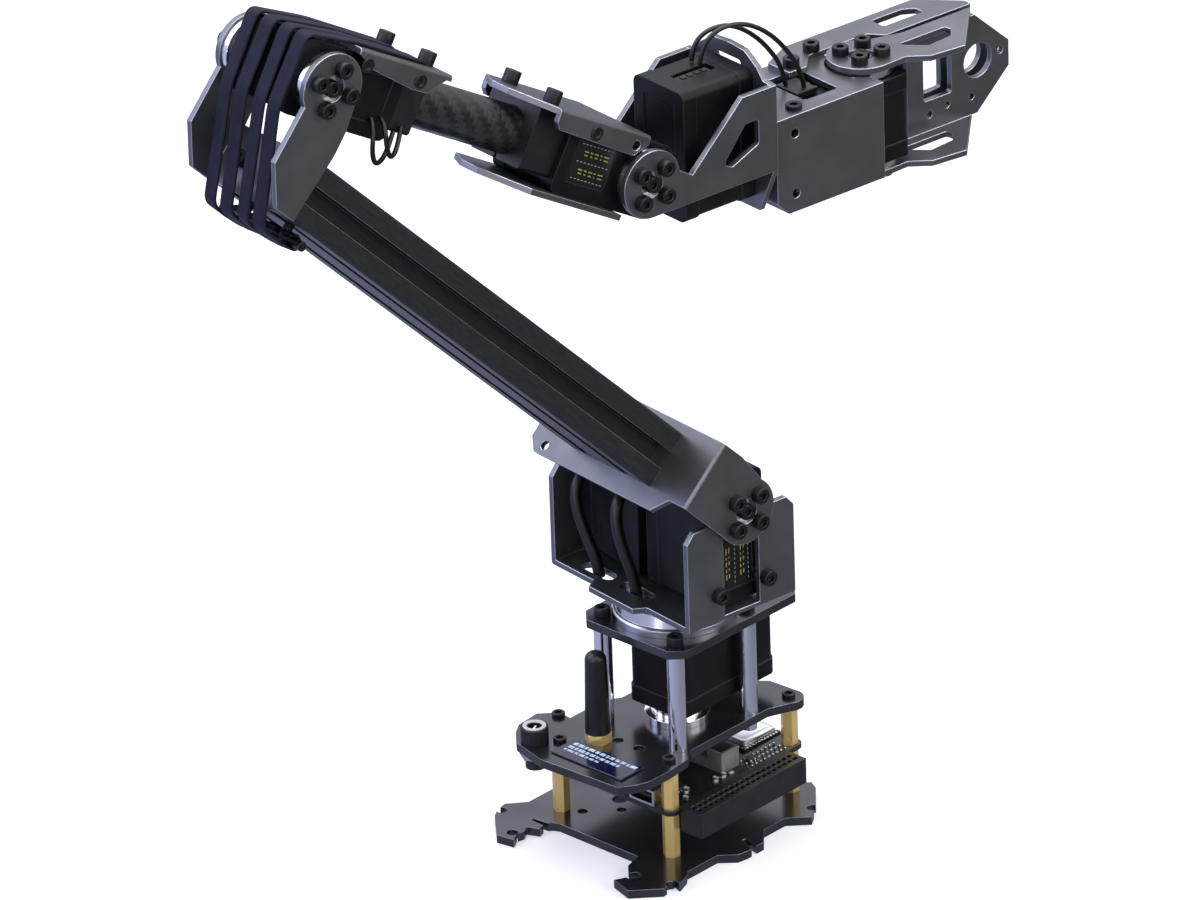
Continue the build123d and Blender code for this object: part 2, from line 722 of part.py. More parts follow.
def servo_feet(side):
    """Two short posts between the case and the bracket's wall, at the wall's screws."""
    feet = []
    for x in (-EAR_SCREW_X, EAR_SCREW_X):
        z = BRACKET_Z + EAR_SCREW_Z
        foot = bar(HEAD_R, (x, side * SHOULDER_CASE, z), (x, side * (EAR_OUTER - SHEET), z))
        foot -= bar(THREAD_HOLE_R, (x, side * SHOULDER_CASE, z), (x, side * (EAR_OUTER - SHEET), z))
        feet.append(foot)
    return feet


def shoulder_servo(side):
    place = shoulder_servo_place(side)
    feet = servo_feet(side)
    shells = turned_servo(place)
    outer = 0 if side < 0 else 2
    shells[outer] = shells[outer] + feet[0] + feet[1]
    return shells


def turret_screws():
    pieces = bearing_screws()
    for side in (-1, 1):
        for x in (-EAR_SCREW_X, EAR_SCREW_X):
            seat = (x, side * EAR_OUTER, BRACKET_Z + EAR_SCREW_Z)
            pieces.append(screw(seat, (0, side, 0), EAR_OUTER - SHOULDER_CASE))
    return pieces


def lead(points, radius):
    """A lead along straight runs joined by the largest arcs that its runs allow."""
    path = [Vector(*point) for point in points]
    bends = []
    for before, here, after in zip(path, path[1:], path[2:]):
        run_in, run_out = here - before, after - here
        half_turn = radians(run_in.get_angle(run_out)) / 2
        bends.append(0.45 * min(run_in.length, run_out.length) / tan(half_turn))
    print("lead radii", [round(bend, 1) for bend in bends])
    wire = FilletPolyline(*path, radius=bends)
    section = Plane(origin=path[0], z_dir=path[1] - path[0]) * Circle(radius)
    return sweep(section, path=wire)


def shoulder_leads():
    """Two sleeved leads from the shoulder servos down into the slots of the bracket's floor."""
    near = [(-13.2, 7.0, 121.6), (-17.6, 6.4, 119.6), (-19.4, 4.6, 111.4), (-18.8, 1.2, 102.0),
            (-17.4, -1.6, 94.2), (-17.0, -2.0, 88.3)]
    far = [(-13.2, 27.0, 121.6), (-17.6, 27.2, 119.4), (-19.2, 25.2, 111.0), (-18.4, 21.0, 101.0),
           (-17.3, 17.4, 93.8), (-17.0, 17.0, 88.3)]
    return [lead(near, SLEEVE_R), lead(far, SLEEVE_R)]


def shoulder_horns():
    reach = SHOULDER_CHEEK - (SHOULDER_CASE - SERVO_HALF)
    thin = SHOULDER_CHEEK - EAR_OUTER - RUN_GAP
    far = Pos(0, SHOULDER_CASE - SERVO_HALF, 0) * drilled_horn(reach, -ARM_LEAN, thin)
    return near_and_far([far])


def arm_foot_bracket():
    """The folded bracket at the arm's foot: two round-ended cheeks and a web with a back lip."""
    web_out = WEB_IN + SHEET
    cheek = outline(
        (ARM_CHEEK_BACK, 0), (ARM_CHEEK_BACK, web_out), (ARM_CHEEK_FRONT, web_out),
        (ARM_CHEEK_FRONT, 15.0), (CHEEK_R, 2.0), (0, 0),
    ) + Circle(CHEEK_R)
    outer = SHOULDER_CHEEK + SHEET
    wall = sheet_y(cheek, SHOULDER_CHEEK, outer) - cheek_holes(SHOULDER_CHEEK, outer, -ARM_LEAN)
    lip_near = LIP_STEP - outer
    web = outline(
        (ARM_CHEEK_FRONT, -outer), (ARM_CHEEK_FRONT, outer), (LIP_BACK + LIP_CUT, outer),
        (LIP_BACK, outer - LIP_CUT), (LIP_BACK, lip_near + LIP_CUT), (ARM_CHEEK_BACK, lip_near),
        (ARM_CHEEK_BACK, -outer),
    )
    web -= dot(LIP_BACK + LIP_HOLE_IN, outer - LIP_STEP, SCREW_HOLE_R)
    for y in (-EXTRUSION_Y / 4, EXTRUSION_Y / 4):
        web -= dot(0, y, SCREW_HOLE_R)
    body = sheet_z(web, WEB_IN, web_out)
    for side in near_and_far([wall]):
        body += side
    creases = body.edges().filter_by(Axis.X).group_by(Axis.Z)[-1].sort_by(Axis.Y)
    return [fillet([creases[0], creases[-1]], BEND)]


def t_slot(depth_edge, centre, along_x):
    """One T-shaped slot of the extrusion, cut in from an outer face."""
    mouth = Rectangle(2 * T_SLOT_LIP, T_SLOT_OPEN)
    wide, narrow = T_SLOT_INNER / 2, T_SLOT_OPEN / 2
    slope = -T_SLOT_DEEP + wide - narrow
    pocket = outline(
        (-T_SLOT_LIP, wide), (slope, wide), (-T_SLOT_DEEP, narrow), (-T_SLOT_DEEP, -narrow), (slope, -wide),
        (-T_SLOT_LIP, -wide),
    )
    slot = mouth + pocket
    if along_x:
        return Pos(depth_edge, centre) * Rot(0, 0, 0 if depth_edge > 0 else 180) * slot
    return Pos(centre, depth_edge) * Rot(0, 0, 90 if depth_edge > 0 else -90) * slot


def arm_extrusion():
    """The slotted aluminium section: two slots on each wide face, one on each narrow face."""
    section = RectangleRounded(EXTRUSION_X, EXTRUSION_Y, 1.0)
    for side in (-1, 1):
        for y in (-EXTRUSION_Y / 4, EXTRUSION_Y / 4):
            section -= t_slot(side * EXTRUSION_X / 2, y, True)
        section -= t_slot(side * EXTRUSION_Y / 2, 0, False)
        section -= dot(0, side * EXTRUSION_Y / 4, EXTRUSION_CORE_R)
    return [sheet_z(section, WEB_IN + SHEET, ELBOW_WEB_Z)]


def elbow_bracket():
    """The folded bracket at the arm's head: a web on the extrusion and two cheeks that reach forward."""
    low = ELBOW_WEB_Z
    back = -EXTRUSION_X / 2
    top = ELBOW_REACH
    cheek = outline(
        (back, low), (back, top - 6.5), (back + ELBOW_TOP_CUT, top + 4.2), (ELBOW_OFFSET - 4.0, top + 6.2),
        (ELBOW_OFFSET, top + CHEEK_R), (ELBOW_OFFSET, top - CHEEK_R), (ELBOW_OFFSET - 8.3, top - 14.2),
        (-back, low),
    ) + dot(ELBOW_OFFSET, top, CHEEK_R)
    outer = ELBOW_CHEEK + SHEET
    axis = Pos(ELBOW_OFFSET, 0, top)
    wall = sheet_y(cheek, ELBOW_CHEEK, outer) - axis * cheek_holes(ELBOW_CHEEK, outer, ELBOW_SCREW_TURN)
    web = Rectangle(EXTRUSION_X, 2 * outer)
    for y in (-EXTRUSION_Y / 4, EXTRUSION_Y / 4):
        web -= dot(0, y, SCREW_HOLE_R)
    body = sheet_z(web, low, low + SHEET)
    for side in near_and_far([wall]):
        body += side
    creases = body.edges().filter_by(Axis.X).group_by(Axis.Z)[0].sort_by(Axis.Y)
    return [fillet([creases[0], creases[-1]], BEND)]


def elbow_horns():
    return near_and_far([Pos(ELBOW_OFFSET, 0, ELBOW_REACH) * drilled_horn(ELBOW_CHEEK, ELBOW_SCREW_TURN)])


def arm_screws():
    """Joint screws at both ends of the arm and the screws that hold its two webs."""
    foot_in = SHOULDER_CASE - SERVO_HALF
    foot = [Pos(0, foot_in, 0) * piece for piece in horn_screws(SHOULDER_CHEEK - foot_in, SHEET, -ARM_LEAN)]
    head_place = Pos(ELBOW_OFFSET, 0, ELBOW_REACH)
    head = [head_place * piece for piece in horn_screws(ELBOW_CHEEK, SHEET, ELBOW_SCREW_TURN)]
    webs = []
    for y in (-EXTRUSION_Y / 4, EXTRUSION_Y / 4):
        webs.append(screw((0, y, WEB_IN), (0, 0, -1), SHEET + 6))
        webs.append(screw((0, y, ELBOW_WEB_Z + SHEET), (0, 0, 1), SHEET + 6))
    return near_and_far(foot + head) + webs


def band_bar():
    """The bar across the arm's back that the bands hook on, on two posts in the back slots."""
    x = -EXTRUSION_X / 2 - BAND_BAR_BACK
    z = ELBOW_WEB_Z - BAND_BAR_DOWN
    body = bar(BAND_BAR_R, (x, -BAND_BAR_LONG / 2, z), (x, BAND_BAR_LONG / 2, z))
    for y in (-EXTRUSION_Y / 4, EXTRUSION_Y / 4):
        body += bar(BAND_BAR_R, (x, y, z), (-EXTRUSION_X / 2, y, z))
    return [body]


def fore_to_arm(x, z):
    """A place on the forearm's side view, in the arm's X and Z at rest."""
    turn = radians(FOREARM_TURN)
    return (
        ELBOW_OFFSET + x * cos(turn) + z * sin(turn),
        ELBOW_REACH - x * sin(turn) + z * cos(turn),
    )


def band_route():
    """The bands' side view: round the bar, past the servo's back end, along the forearm's top."""
    bar_x = -EXTRUSION_X / 2 - BAND_BAR_BACK
    bar_z = ELBOW_WEB_Z - BAND_BAR_DOWN
    back = -SHAFT_FROM_END
    top = SERVO_SIDE
    lift = SHEET + BAND_THICK
    return [
        (bar_x - BAND_BAR_R - BAND_THICK, bar_z - 3.0), (bar_x - BAND_BAR_R - BAND_THICK, bar_z + 14.0),
        fore_to_arm(back - 2.4, -top + 1.0), fore_to_arm(back - 2.4, top + 1.6),
        fore_to_arm(back + 20.0, top + lift + 0.2), fore_to_arm(BAND_SCREW_X - HEAD_R - 1.4, top + lift),
    ]


def rubber_bands():
    """Flat rubber bands from the bar over the elbow to the tall screws on the forearm."""
    line = FilletPolyline(*band_route(), radius=3.0)
    strip = trace(Plane.XY * line, line_width=BAND_THICK)
    pieces = []
    for y in BAND_PLACES:
        pieces.append(sheet_y(strip, y - BAND_WIDE / 2, y + BAND_WIDE / 2))
    return pieces


def forearm_bracket():
    """The folded cap over the elbow servo: a top plate and a short flange down each side."""
    back, front = FOREARM_CAP
    top = SERVO_SIDE + SHEET
    low = top - FLANGE_DOWN
    flange = outline(
        (back, top), (front, top), (front - 8, low), (front - 14, low - 0.2), (back + 7, low + 2.2),
        (back, top - 1.6),
    )
    for x in FOREARM_FLANGE_SCREWS:
        flange -= dot(x, top - FOREARM_SCREW_DOWN, SCREW_HOLE_R)
    width = FOREARM_FLANGE_OUT
    plate = outline((back, -width), (front, -width), (front, width), (back, width))
    for y in (-BAND_SCREW_Y, BAND_SCREW_Y):
        plate -= dot(BAND_SCREW_X, y, SCREW_HOLE_R)
    body = sheet_z(plate, SERVO_SIDE, top)
    for side in near_and_far([sheet_y(flange, width - SHEET, width)]):
        body += side
    creases = body.edges().filter_by(Axis.X).group_by(Axis.Z)[-1].sort_by(Axis.Y)
    return [fillet([creases[0], creases[-1]], BEND)]


def tube_clamp(back, front, low):
    """A block that grips the tube, split below and bored to its size."""
    half = CLAMP_WIDE / 2
    body = block((back, front), (-half, half), (low, SERVO_SIDE))
    body = chamfer(body.edges().filter_by(Axis.X), CUT_CORNER)
    body -= bar(TUBE_R, (back, 0, TUBE_Z), (front, 0, TUBE_Z))
    slit = block((back, front), (-0.5, 0.5), (low, TUBE_Z - TUBE_BORE_R))
    return body - slit


def rear_tube_clamp():
    low = TUBE_Z - TUBE_R - CLAMP_BELOW
    body = tube_clamp(SERVO_REACH, SERVO_REACH + CLAMP_LONG, low)
    for y in (-BAND_SCREW_Y, BAND_SCREW_Y):
        body -= bar(THREAD_HOLE_R, (BAND_SCREW_X, y, SERVO_SIDE - 4), (BAND_SCREW_X, y, SERVO_SIDE))
    return [body]


def wrist_servo_back():
    return WRIST_REACH - SERVO_REACH


def front_tube_clamp():
    low = TUBE_Z - TUBE_R - CLAMP_BELOW
    end = wrist_servo_back()
    return [tube_clamp(end - FRONT_CLAMP_LONG, end, low)]


def carbon_tube():
    start, end = (SERVO_REACH, 0, TUBE_Z), (wrist_servo_back(), 0, TUBE_Z)
    return [bar(TUBE_R, start, end) - bar(TUBE_BORE_R, start, end)]


def wrist_mount():
    """Two plates on the wrist servo's top and bottom with pointed backs; the top one has flanges."""
    width = MOUNT_FLANGE_OUT
    top = SERVO_SIDE + SHEET
    low = top - FLANGE_DOWN
    plate = outline(
        (MOUNT_APEX, -4.0), (MOUNT_SHOULDER, -width), (MOUNT_END, -width), (MOUNT_END, width),
        (MOUNT_SHOULDER, width), (MOUNT_APEX, 4.0),
    )
    upper = plate
    for y in (-BAND_SCREW_Y, BAND_SCREW_Y):
        upper -= dot(MOUNT_SCREW_X, y, SCREW_HOLE_R)
    flange = outline(
        (MOUNT_SHOULDER, top), (MOUNT_END, top), (MOUNT_END, low + 4.6), (MOUNT_END - 4.6, low),
        (MOUNT_SHOULDER + 2, low + 1.0), (MOUNT_SHOULDER, low + 3),
    )
    for x in MOUNT_FLANGE_SCREWS:
        flange -= dot(x, top - MOUNT_SCREW_DOWN, SCREW_HOLE_R)
    body = sheet_z(upper, SERVO_SIDE, top)
    for side in near_and_far([sheet_y(flange, width - SHEET, width)]):
        body += side
    creases = body.edges().filter_by(Axis.X).group_by(Axis.Z)[-1].sort_by(Axis.Y)
    body = fillet([creases[0], creases[-1]], BEND)
    return [body, sheet_z(plate, -top, -SERVO_SIDE)]


def forearm_screws():
    """The tall screws that the bands hook on, those of the wrist mount and the flange screws."""
    top = SERVO_SIDE + SHEET
    pieces = []
    for y in (-BAND_SCREW_Y, BAND_SCREW_Y):
        pieces.append(screw((BAND_SCREW_X, y, top), (0, 0, 1), SHEET, TALL_HEAD))
        pieces.append(screw((MOUNT_SCREW_X, y, top), (0, 0, 1), SHEET, TALL_HEAD))
    sides = [flat_screw(x, FOREARM_FLANGE_OUT, top - FOREARM_SCREW_DOWN) for x in FOREARM_FLANGE_SCREWS]
    sides.append(flat_screw(MOUNT_FLANGE_SCREWS[0], MOUNT_FLANGE_OUT, top - MOUNT_SCREW_DOWN))
    return pieces + near_and_far(sides)


def flat_screw(x, out, z):
    """A low button screw through a flange into the servo's side."""
    head = bar(FLAT_HEAD_R, (x, out, z), (x, out + FLAT_HEAD, z))
    return head + bar(SCREW_R, (x, SERVO_HALF, z), (x, out, z))


def forearm_leads():
    """Two leads that hang in short loops from the elbow servo to the clamp."""
    outer = [(30.0, -14.9, -5.0), (30.4, -17.6, -7.0), (33.0, -18.8, -12.8), (37.6, -17.4, -16.2),
             (41.4, -14.8, -13.0), (41.0, -13.1, -6.0)]
    inner = [(26.0, -14.9, -6.0), (26.4, -17.6, -9.0), (28.6, -18.4, -16.2), (33.4, -16.8, -19.6),
             (38.0, -14.6, -15.6), (38.6, -13.1, -8.2)]
    return [lead(outer, FOREARM_LEAD_R), lead(inner, FOREARM_LEAD_R)]


def wrist_servo():
    return turned_servo(Pos(WRIST_REACH, 0, 0) * Rot(0, 180, 0))


def wrist_horns():
    return near_and_far([drilled_horn(WRIST_CHEEK)])


def wrist_bracket():
    """The folded wrist bracket: cut-out cheeks and a panel with an arched top and a finger slot."""
    front = WRIST_PANEL_X + SHEET
    cheek = outline(
        (0, WRIST_BOTTOM), (0, 0), (10.9, 1.6), (16.6, -2.0), (37.9, WRIST_TOP), (front, WRIST_TOP),
        (front, WRIST_BOTTOM),
    ) + Circle(CHEEK_R)
    window = outline((29.4, -2.6), (38.7, 8.7), (44.3, 8.9), (44.3, 0.4), (33.0, -4.4))
    cheek -= fillet(window.vertices(), 1.4)
    outer = WRIST_CHEEK + SHEET
    wall = sheet_y(cheek, WRIST_CHEEK, outer) - cheek_holes(WRIST_CHEEK, outer)
    panel = outline(
        (-outer, WRIST_BOTTOM), (-14.0, PANEL_BOTTOM), (14.0, PANEL_BOTTOM), (outer, WRIST_BOTTOM),
        (outer, WRIST_TOP), (17.0, WRIST_TOP + 0.6), (14.0, 22.6), (8.0, ARCH_TOP - 0.6), (0, ARCH_TOP),
        (-8.0, ARCH_TOP - 0.6), (-14.0, 22.6), (-17.0, WRIST_TOP + 0.6), (-outer, WRIST_TOP),
    )
    panel -= dot(0, GRIP_Z, HORN_R + 2 * RUN_GAP)
    panel -= Pos(0, HANDLE_SLOT_Z) * SlotOverall(*HANDLE_SLOT)
    for y, z in panel_screws():
        panel -= dot(y, z, SCREW_HOLE_R)
    body = sheet_x(panel, WRIST_PANEL_X, front)
    for side in near_and_far([wall]):
        body += side
    return [body]


def panel_screws():
    """Where the roll servo's case is screwed to the panel."""
    return [(side * PANEL_SCREW_Y, GRIP_Z + up) for side in (-1, 1) for up in PANEL_SCREW_UP]


def roll_place():
    """The roll servo stands upright behind the panel, its shaft forward and low."""
    return Pos(WRIST_PANEL_X - SERVO_HALF, 0, GRIP_Z) * Rot(0, 0, -90) * Rot(0, -90, 0)


def roll_servo():
    return turned_servo(roll_place())


def roll_horn():
    return [roll_place() * drilled_horn(FRAME_BACK - WRIST_PANEL_X + SERVO_HALF)]


def wrist_screws():
    joints = near_and_far(horn_screws(WRIST_CHEEK, SHEET))
    front = WRIST_PANEL_X + SHEET
    return joints + [screw((front, y, z), (1, 0, 0), SHEET, PANEL_HEAD) for y, z in panel_screws()]


def gripper_frame():
    """The folded gripper frame: a back plate on the roll horn, two side panels, top and bottom."""
    cut = FRAME_CUT
    back, front = FRAME_BACK, FRAME_FRONT
    side = outline(
        (back, FRAME_TOP - 1.4), (back + 1.4, FRAME_TOP), (front, FRAME_TOP), (front, FRAME_BOTTOM + 0.6),
        (back + cut, FRAME_BOTTOM), (back, FRAME_BOTTOM + cut),
    )
    for z in (-3.1, -24.2):
        side -= dot(62.5, z, SCREW_HOLE_R)
    roof = outline((back, -FRAME_OUTER), (front, -FRAME_OUTER), (front, FRAME_OUTER), (back, FRAME_OUTER))
    roof -= dot(JAW_REACH, JAW_SIDE, CHEEK_R + 2 * RUN_GAP)
    window = Pos(JAW_REACH - SERVO_REACH + ROOF_WINDOW_IN, JAW_SIDE) * Rectangle(*ROOF_WINDOW)
    roof -= fillet(window.vertices(), 1.5)
    for x, y in roof_screws() + fixed_jaw_screws():
        roof -= dot(x, y, SCREW_HOLE_R)
    rear = outline(
        (-FRAME_OUTER, FRAME_BOTTOM + cut), (FRAME_OUTER, FRAME_BOTTOM + cut), (FRAME_OUTER, FRAME_TOP),
        (-FRAME_OUTER, FRAME_TOP),
    )
    rear -= dot(0, GRIP_Z, CHEEK_HOLE_R)
    for y, z in bolt_square():
        rear -= dot(y, GRIP_Z + z, SCREW_HOLE_R)
    body = sheet_x(rear, back, back + SHEET)
    body += sheet_z(roof, FRAME_TOP - SHEET, FRAME_TOP)
    floor = outline(
        (back + cut, -FRAME_OUTER), (front, -FRAME_OUTER), (front, FRAME_OUTER), (back + cut, FRAME_OUTER)
    ) - dot(JAW_REACH, JAW_SIDE, CHEEK_R + 2 * RUN_GAP)
    for x, y in fixed_jaw_screws():
        floor -= dot(x, y, SCREW_HOLE_R)
    body += sheet_z(floor, FRAME_BOTTOM, FRAME_BOTTOM + SHEET)
    for wall in near_and_far([sheet_y(side, FRAME_OUTER - SHEET, FRAME_OUTER)]):
        body += wall
    return [body]


def roof_screws():
    return [(66.0, -13.0), (66.0, 11.0)]


def jaw_axis():
    """The gripper servo: shaft up at the jaw's pivot, case back into the frame."""
    return Pos(JAW_REACH, JAW_SIDE, GRIP_Z)


def gripper_servo():
    return turned_servo(jaw_axis() * Rot(0, 0, 180) * Rot(90, 0, 0))


def upright_pair(piece):
    """A piece made along +Y about a shaft, stood on both ends of the jaw's pivot."""
    return [jaw_axis() * Rot(90, 0, 0) * piece, jaw_axis() * Rot(-90, 0, 0) * piece]


def jaw_horns():
    return upright_pair(drilled_horn(JAW_ARM_IN))


def jaw_screws():
    pieces = []
    for piece in horn_screws(JAW_ARM_IN, SHEET):
        pieces += upright_pair(piece)
    return pieces


def gripper_screws():
    """Screws of the roll horn, the roof and the fixed jaw."""
    seat = FRAME_BACK + SHEET
    horn_ring = [
        screw((seat, y, GRIP_Z + z), (1, 0, 0), SHEET + HORN_DISC - FIT_GAP) for y, z in bolt_square()
    ]
    roof = [screw((x, y, FRAME_TOP), (0, 0, 1), SHEET, PANEL_HEAD) for x, y in roof_screws()]
    jaw = []
    for x, y in fixed_jaw_screws():
        jaw.append(screw((x, y, FRAME_TOP + SHEET), (0, 0, 1), 2 * SHEET))
        jaw.append(screw((x, y, FRAME_BOTTOM - SHEET), (0, 0, -1), 2 * SHEET))
    return horn_ring + roof + jaw


def fixed_jaw_screws():
    return [(84.0, 9.2), (96.5, 13.8)]


def jaw_face(open_back):
    """The face that both jaws share: a pointed tip, a window, a round hole and small holes."""
    high = GRIP_Z + JAW_ARM_IN
    low = GRIP_Z - JAW_ARM_IN
    face = outline(
        (open_back, low), (156.0, low), (JAW_TIP, -18.4), (JAW_TIP, -9.4), (155.4, high), (open_back, high)
    )
    window = outline((133.0, -20.5), (145.0, -20.5), (145.0, -6.0), (142.0, -3.6), (133.0, -3.6))
    face -= fillet(window.vertices(), 1.0)
    face -= dot(156.5, -12.6, ROUND_WINDOW_R)
    for x, z in ((166.3, -12.0), (153.6, -24.8), (143.0, -24.4), (135.4, -25.6)):
        face -= dot(x, z, 1.2)
    return face


def jaw_arm_outline():
    """The moving jaw's arm, seen from above: a round end on the horn and a broad cut-out finger."""
    arm = outline(
        (JAW_REACH, JAW_SIDE - CHEEK_R), (114.5, -12.0), (120.8, -17.0), (134.3, -18.5),
        (155.4, JAW_FACE_OUT),
        (JAW_FACE_BACK, JAW_FACE_OUT), (114.0, 6.4), (JAW_REACH, JAW_SIDE),
    ) + dot(JAW_REACH, JAW_SIDE, CHEEK_R)
    window = outline((118.2, -3.0), (139.0, -3.0), (139.4, -5.6), (136.0, -9.6), (125.8, -10.6))
    return arm - fillet(window.vertices(), 1.0)


def moving_jaw():
    """The moving jaw: an arm above and below the servo and the gripping face between them."""
    arm = jaw_arm_outline() - dot(JAW_REACH, JAW_SIDE, CHEEK_HOLE_R)
    for x, y in bolt_square():
        arm -= dot(JAW_REACH + x, JAW_SIDE + y, SCREW_HOLE_R)
    high = GRIP_Z + JAW_ARM_IN
    low = GRIP_Z - JAW_ARM_IN
    body = sheet_z(arm, high, high + SHEET) + sheet_z(arm, low - SHEET, low)
    body += sheet_y(jaw_face(JAW_FACE_BACK), JAW_FACE_OUT - SHEET, JAW_FACE_OUT)
    return [body]


def fixed_jaw():
    """The fixed jaw: two flanges screwed to the frame's top and bottom and the face between them."""
    inner, out = FIXED_FACE_IN, FLANGE_OUTER
    end = JAW_TIP - FLANGE_SHORT
    flange = outline(
        (80.0, 5.4), (87.4, 5.4), (93.4, FLANGE_INNER), (118.0, FLANGE_INNER), (122.0, inner), (end, inner),
        (end, 9.6), (end - FLANGE_INNER, out), (92.0, out), (80.0, 16.0),
    )
    for x, y in fixed_jaw_screws():
        flange -= dot(x, y, SCREW_HOLE_R)
    window = outline((126.0, 12.0), (143.0, 12.0), (143.0, 16.0), (139.0, 18.4), (126.0, 18.4))
    flange -= fillet(window.vertices(), 1.0)
    face = jaw_face(FIXED_FACE_BACK)
    middle = (FIXED_FACE_BACK + JAW_TIP) / 2
    clip = Pos(middle, GRIP_Z) * Rectangle(JAW_TIP - FIXED_FACE_BACK, 2 * FRAME_HALF_TALL)
    body = sheet_z(flange, FRAME_TOP, FRAME_TOP + SHEET)
    body += sheet_z(flange, FRAME_BOTTOM - SHEET, FRAME_BOTTOM)
    body += sheet_y(face & clip, inner, inner + SHEET)
    return [body]


def gripper_leads():
    """Two leads from the roll servo's top, over the handle and down through the gripper's roof."""
    far = [(40.0, 6.0, 21.5), (40.6, 6.2, 26.2), (45.6, 5.6, 30.4), (54.0, 4.4, 30.6), (62.0, 3.4, 25.8),
           (69.0, 2.6, 18.4), (74.6, 2.2, 9.4), (76.0, 2.0, 1.0)]
    near = [(40.0, 2.0, 21.5), (40.8, 1.8, 27.4), (46.8, 0.8, 32.4), (56.4, -0.6, 32.0), (65.6, -1.8, 26.2),
            (73.0, -2.4, 17.6), (78.2, -2.8, 8.6), (79.4, -3.0, 1.0)]
    return [lead(far, GRIPPER_LEAD_R), lead(near, GRIPPER_LEAD_R)]


# The nodes that each link carries, each named after its function
BASE_NODES = [
    base_plate, driver_board, pin_header, radio_module, bus_connector, usb_ports, upper_deck, display_panel,
    power_jack, antenna, antenna_nut, deck_screws, pillars, pillar_screws, turntable_plate,
    bearing_outer_ring, yaw_idler_disc,
]
TURRET_NODES = [yaw_horn, bearing_inner_ring, shoulder_bracket, turret_screws, shoulder_leads]
ARM_NODES = [
    shoulder_horns, arm_foot_bracket, arm_extrusion, elbow_bracket, elbow_horns, arm_screws, band_bar,
    rubber_bands,
]
FOREARM_NODES = [
    forearm_bracket, rear_tube_clamp, carbon_tube, front_tube_clamp, wrist_mount, wrist_servo,
    forearm_screws, forearm_leads,
]
HAND_NODES = [
    wrist_horns, wrist_bracket, roll_servo, wrist_screws, roll_horn, gripper_frame, fixed_jaw,
    gripper_servo, gripper_screws, gripper_leads, jaw_horns, moving_jaw, jaw_screws,
]

os.makedirs("parts", exist_ok=True)
for place, nodes in (
    (BASE, BASE_NODES), (TURRET, TURRET_NODES), (ARM, ARM_NODES), (FOREARM, FOREARM_NODES),
    (HAND, HAND_NODES),
):
    for node in nodes:
        save(node.__name__, node(), place)
save("lower_standoffs", standoffs(BASE_PLATE, LOWER_STANDOFF), BASE)
save("upper_standoffs", standoffs(BOARD_TOP, UPPER_STANDOFF), BASE)
save("yaw_servo", turned_servo(yaw_place()), BASE)
save("near_shoulder_servo", shoulder_servo(-1), TURRET)
save("far_shoulder_servo", shoulder_servo(1), TURRET)
save("elbow_servo", servo(), FOREARM)
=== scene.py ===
import json
import math

import bmesh
import bpy
import numpy as np
from mathutils import Matrix, Vector


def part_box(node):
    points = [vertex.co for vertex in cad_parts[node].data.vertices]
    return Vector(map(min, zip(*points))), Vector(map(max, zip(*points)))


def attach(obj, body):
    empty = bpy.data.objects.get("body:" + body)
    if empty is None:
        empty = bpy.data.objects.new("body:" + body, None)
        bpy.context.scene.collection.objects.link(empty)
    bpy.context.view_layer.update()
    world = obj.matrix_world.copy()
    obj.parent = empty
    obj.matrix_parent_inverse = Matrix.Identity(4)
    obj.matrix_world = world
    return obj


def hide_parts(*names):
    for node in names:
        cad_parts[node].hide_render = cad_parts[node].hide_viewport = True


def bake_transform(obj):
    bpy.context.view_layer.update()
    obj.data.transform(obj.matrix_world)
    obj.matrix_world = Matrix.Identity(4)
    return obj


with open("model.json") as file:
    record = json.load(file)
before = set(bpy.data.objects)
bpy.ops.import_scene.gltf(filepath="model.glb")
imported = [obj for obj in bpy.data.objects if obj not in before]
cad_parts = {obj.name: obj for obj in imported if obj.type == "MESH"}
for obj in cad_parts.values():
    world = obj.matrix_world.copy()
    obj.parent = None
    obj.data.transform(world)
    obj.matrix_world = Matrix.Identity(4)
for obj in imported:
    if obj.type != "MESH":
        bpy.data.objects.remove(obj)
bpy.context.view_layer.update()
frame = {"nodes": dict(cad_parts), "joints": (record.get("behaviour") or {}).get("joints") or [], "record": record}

MM = 0.001

# How the links stand at rest, in degrees, and the case that all seven servos share, in mm
REST_YAW = -7.5
ARM_LEAN = -45.0
FOREARM_DIP = 30.0
SERVO_HALF = 14.5
SERVO_REACH = 35.0
SERVO_SIDE = 12.35
SHOULDER_SERVO_OUT = 16.7
YAW_SERVO_Z = 58.5
GRIP_Z = -13.69
LABEL_LONG = 17.0
LABEL_WIDE = 15.0
LABEL_X = 21.5


def move(x, y, z):
    return Matrix.Translation(Vector((x, y, z)) * MM)


def turn(degrees, axis):
    return Matrix.Rotation(math.radians(degrees), 4, axis)


def joint_place(name):
    """Where a joint's axis is, as a matrix in the row frame."""
    for joint in frame["joints"]:
        if joint["name"] == name:
            return Matrix.Translation(Vector(joint["pos_m"]))
    raise KeyError(name)


TURRET = turn(REST_YAW, "Z")
ARM = joint_place("shoulder_pitch") @ TURRET @ turn(ARM_LEAN, "Y")
FOREARM = joint_place("elbow_pitch") @ TURRET @ turn(FOREARM_DIP, "Y")
HAND = joint_place("wrist_pitch") @ TURRET
SHOULDER = joint_place("shoulder_pitch") @ TURRET

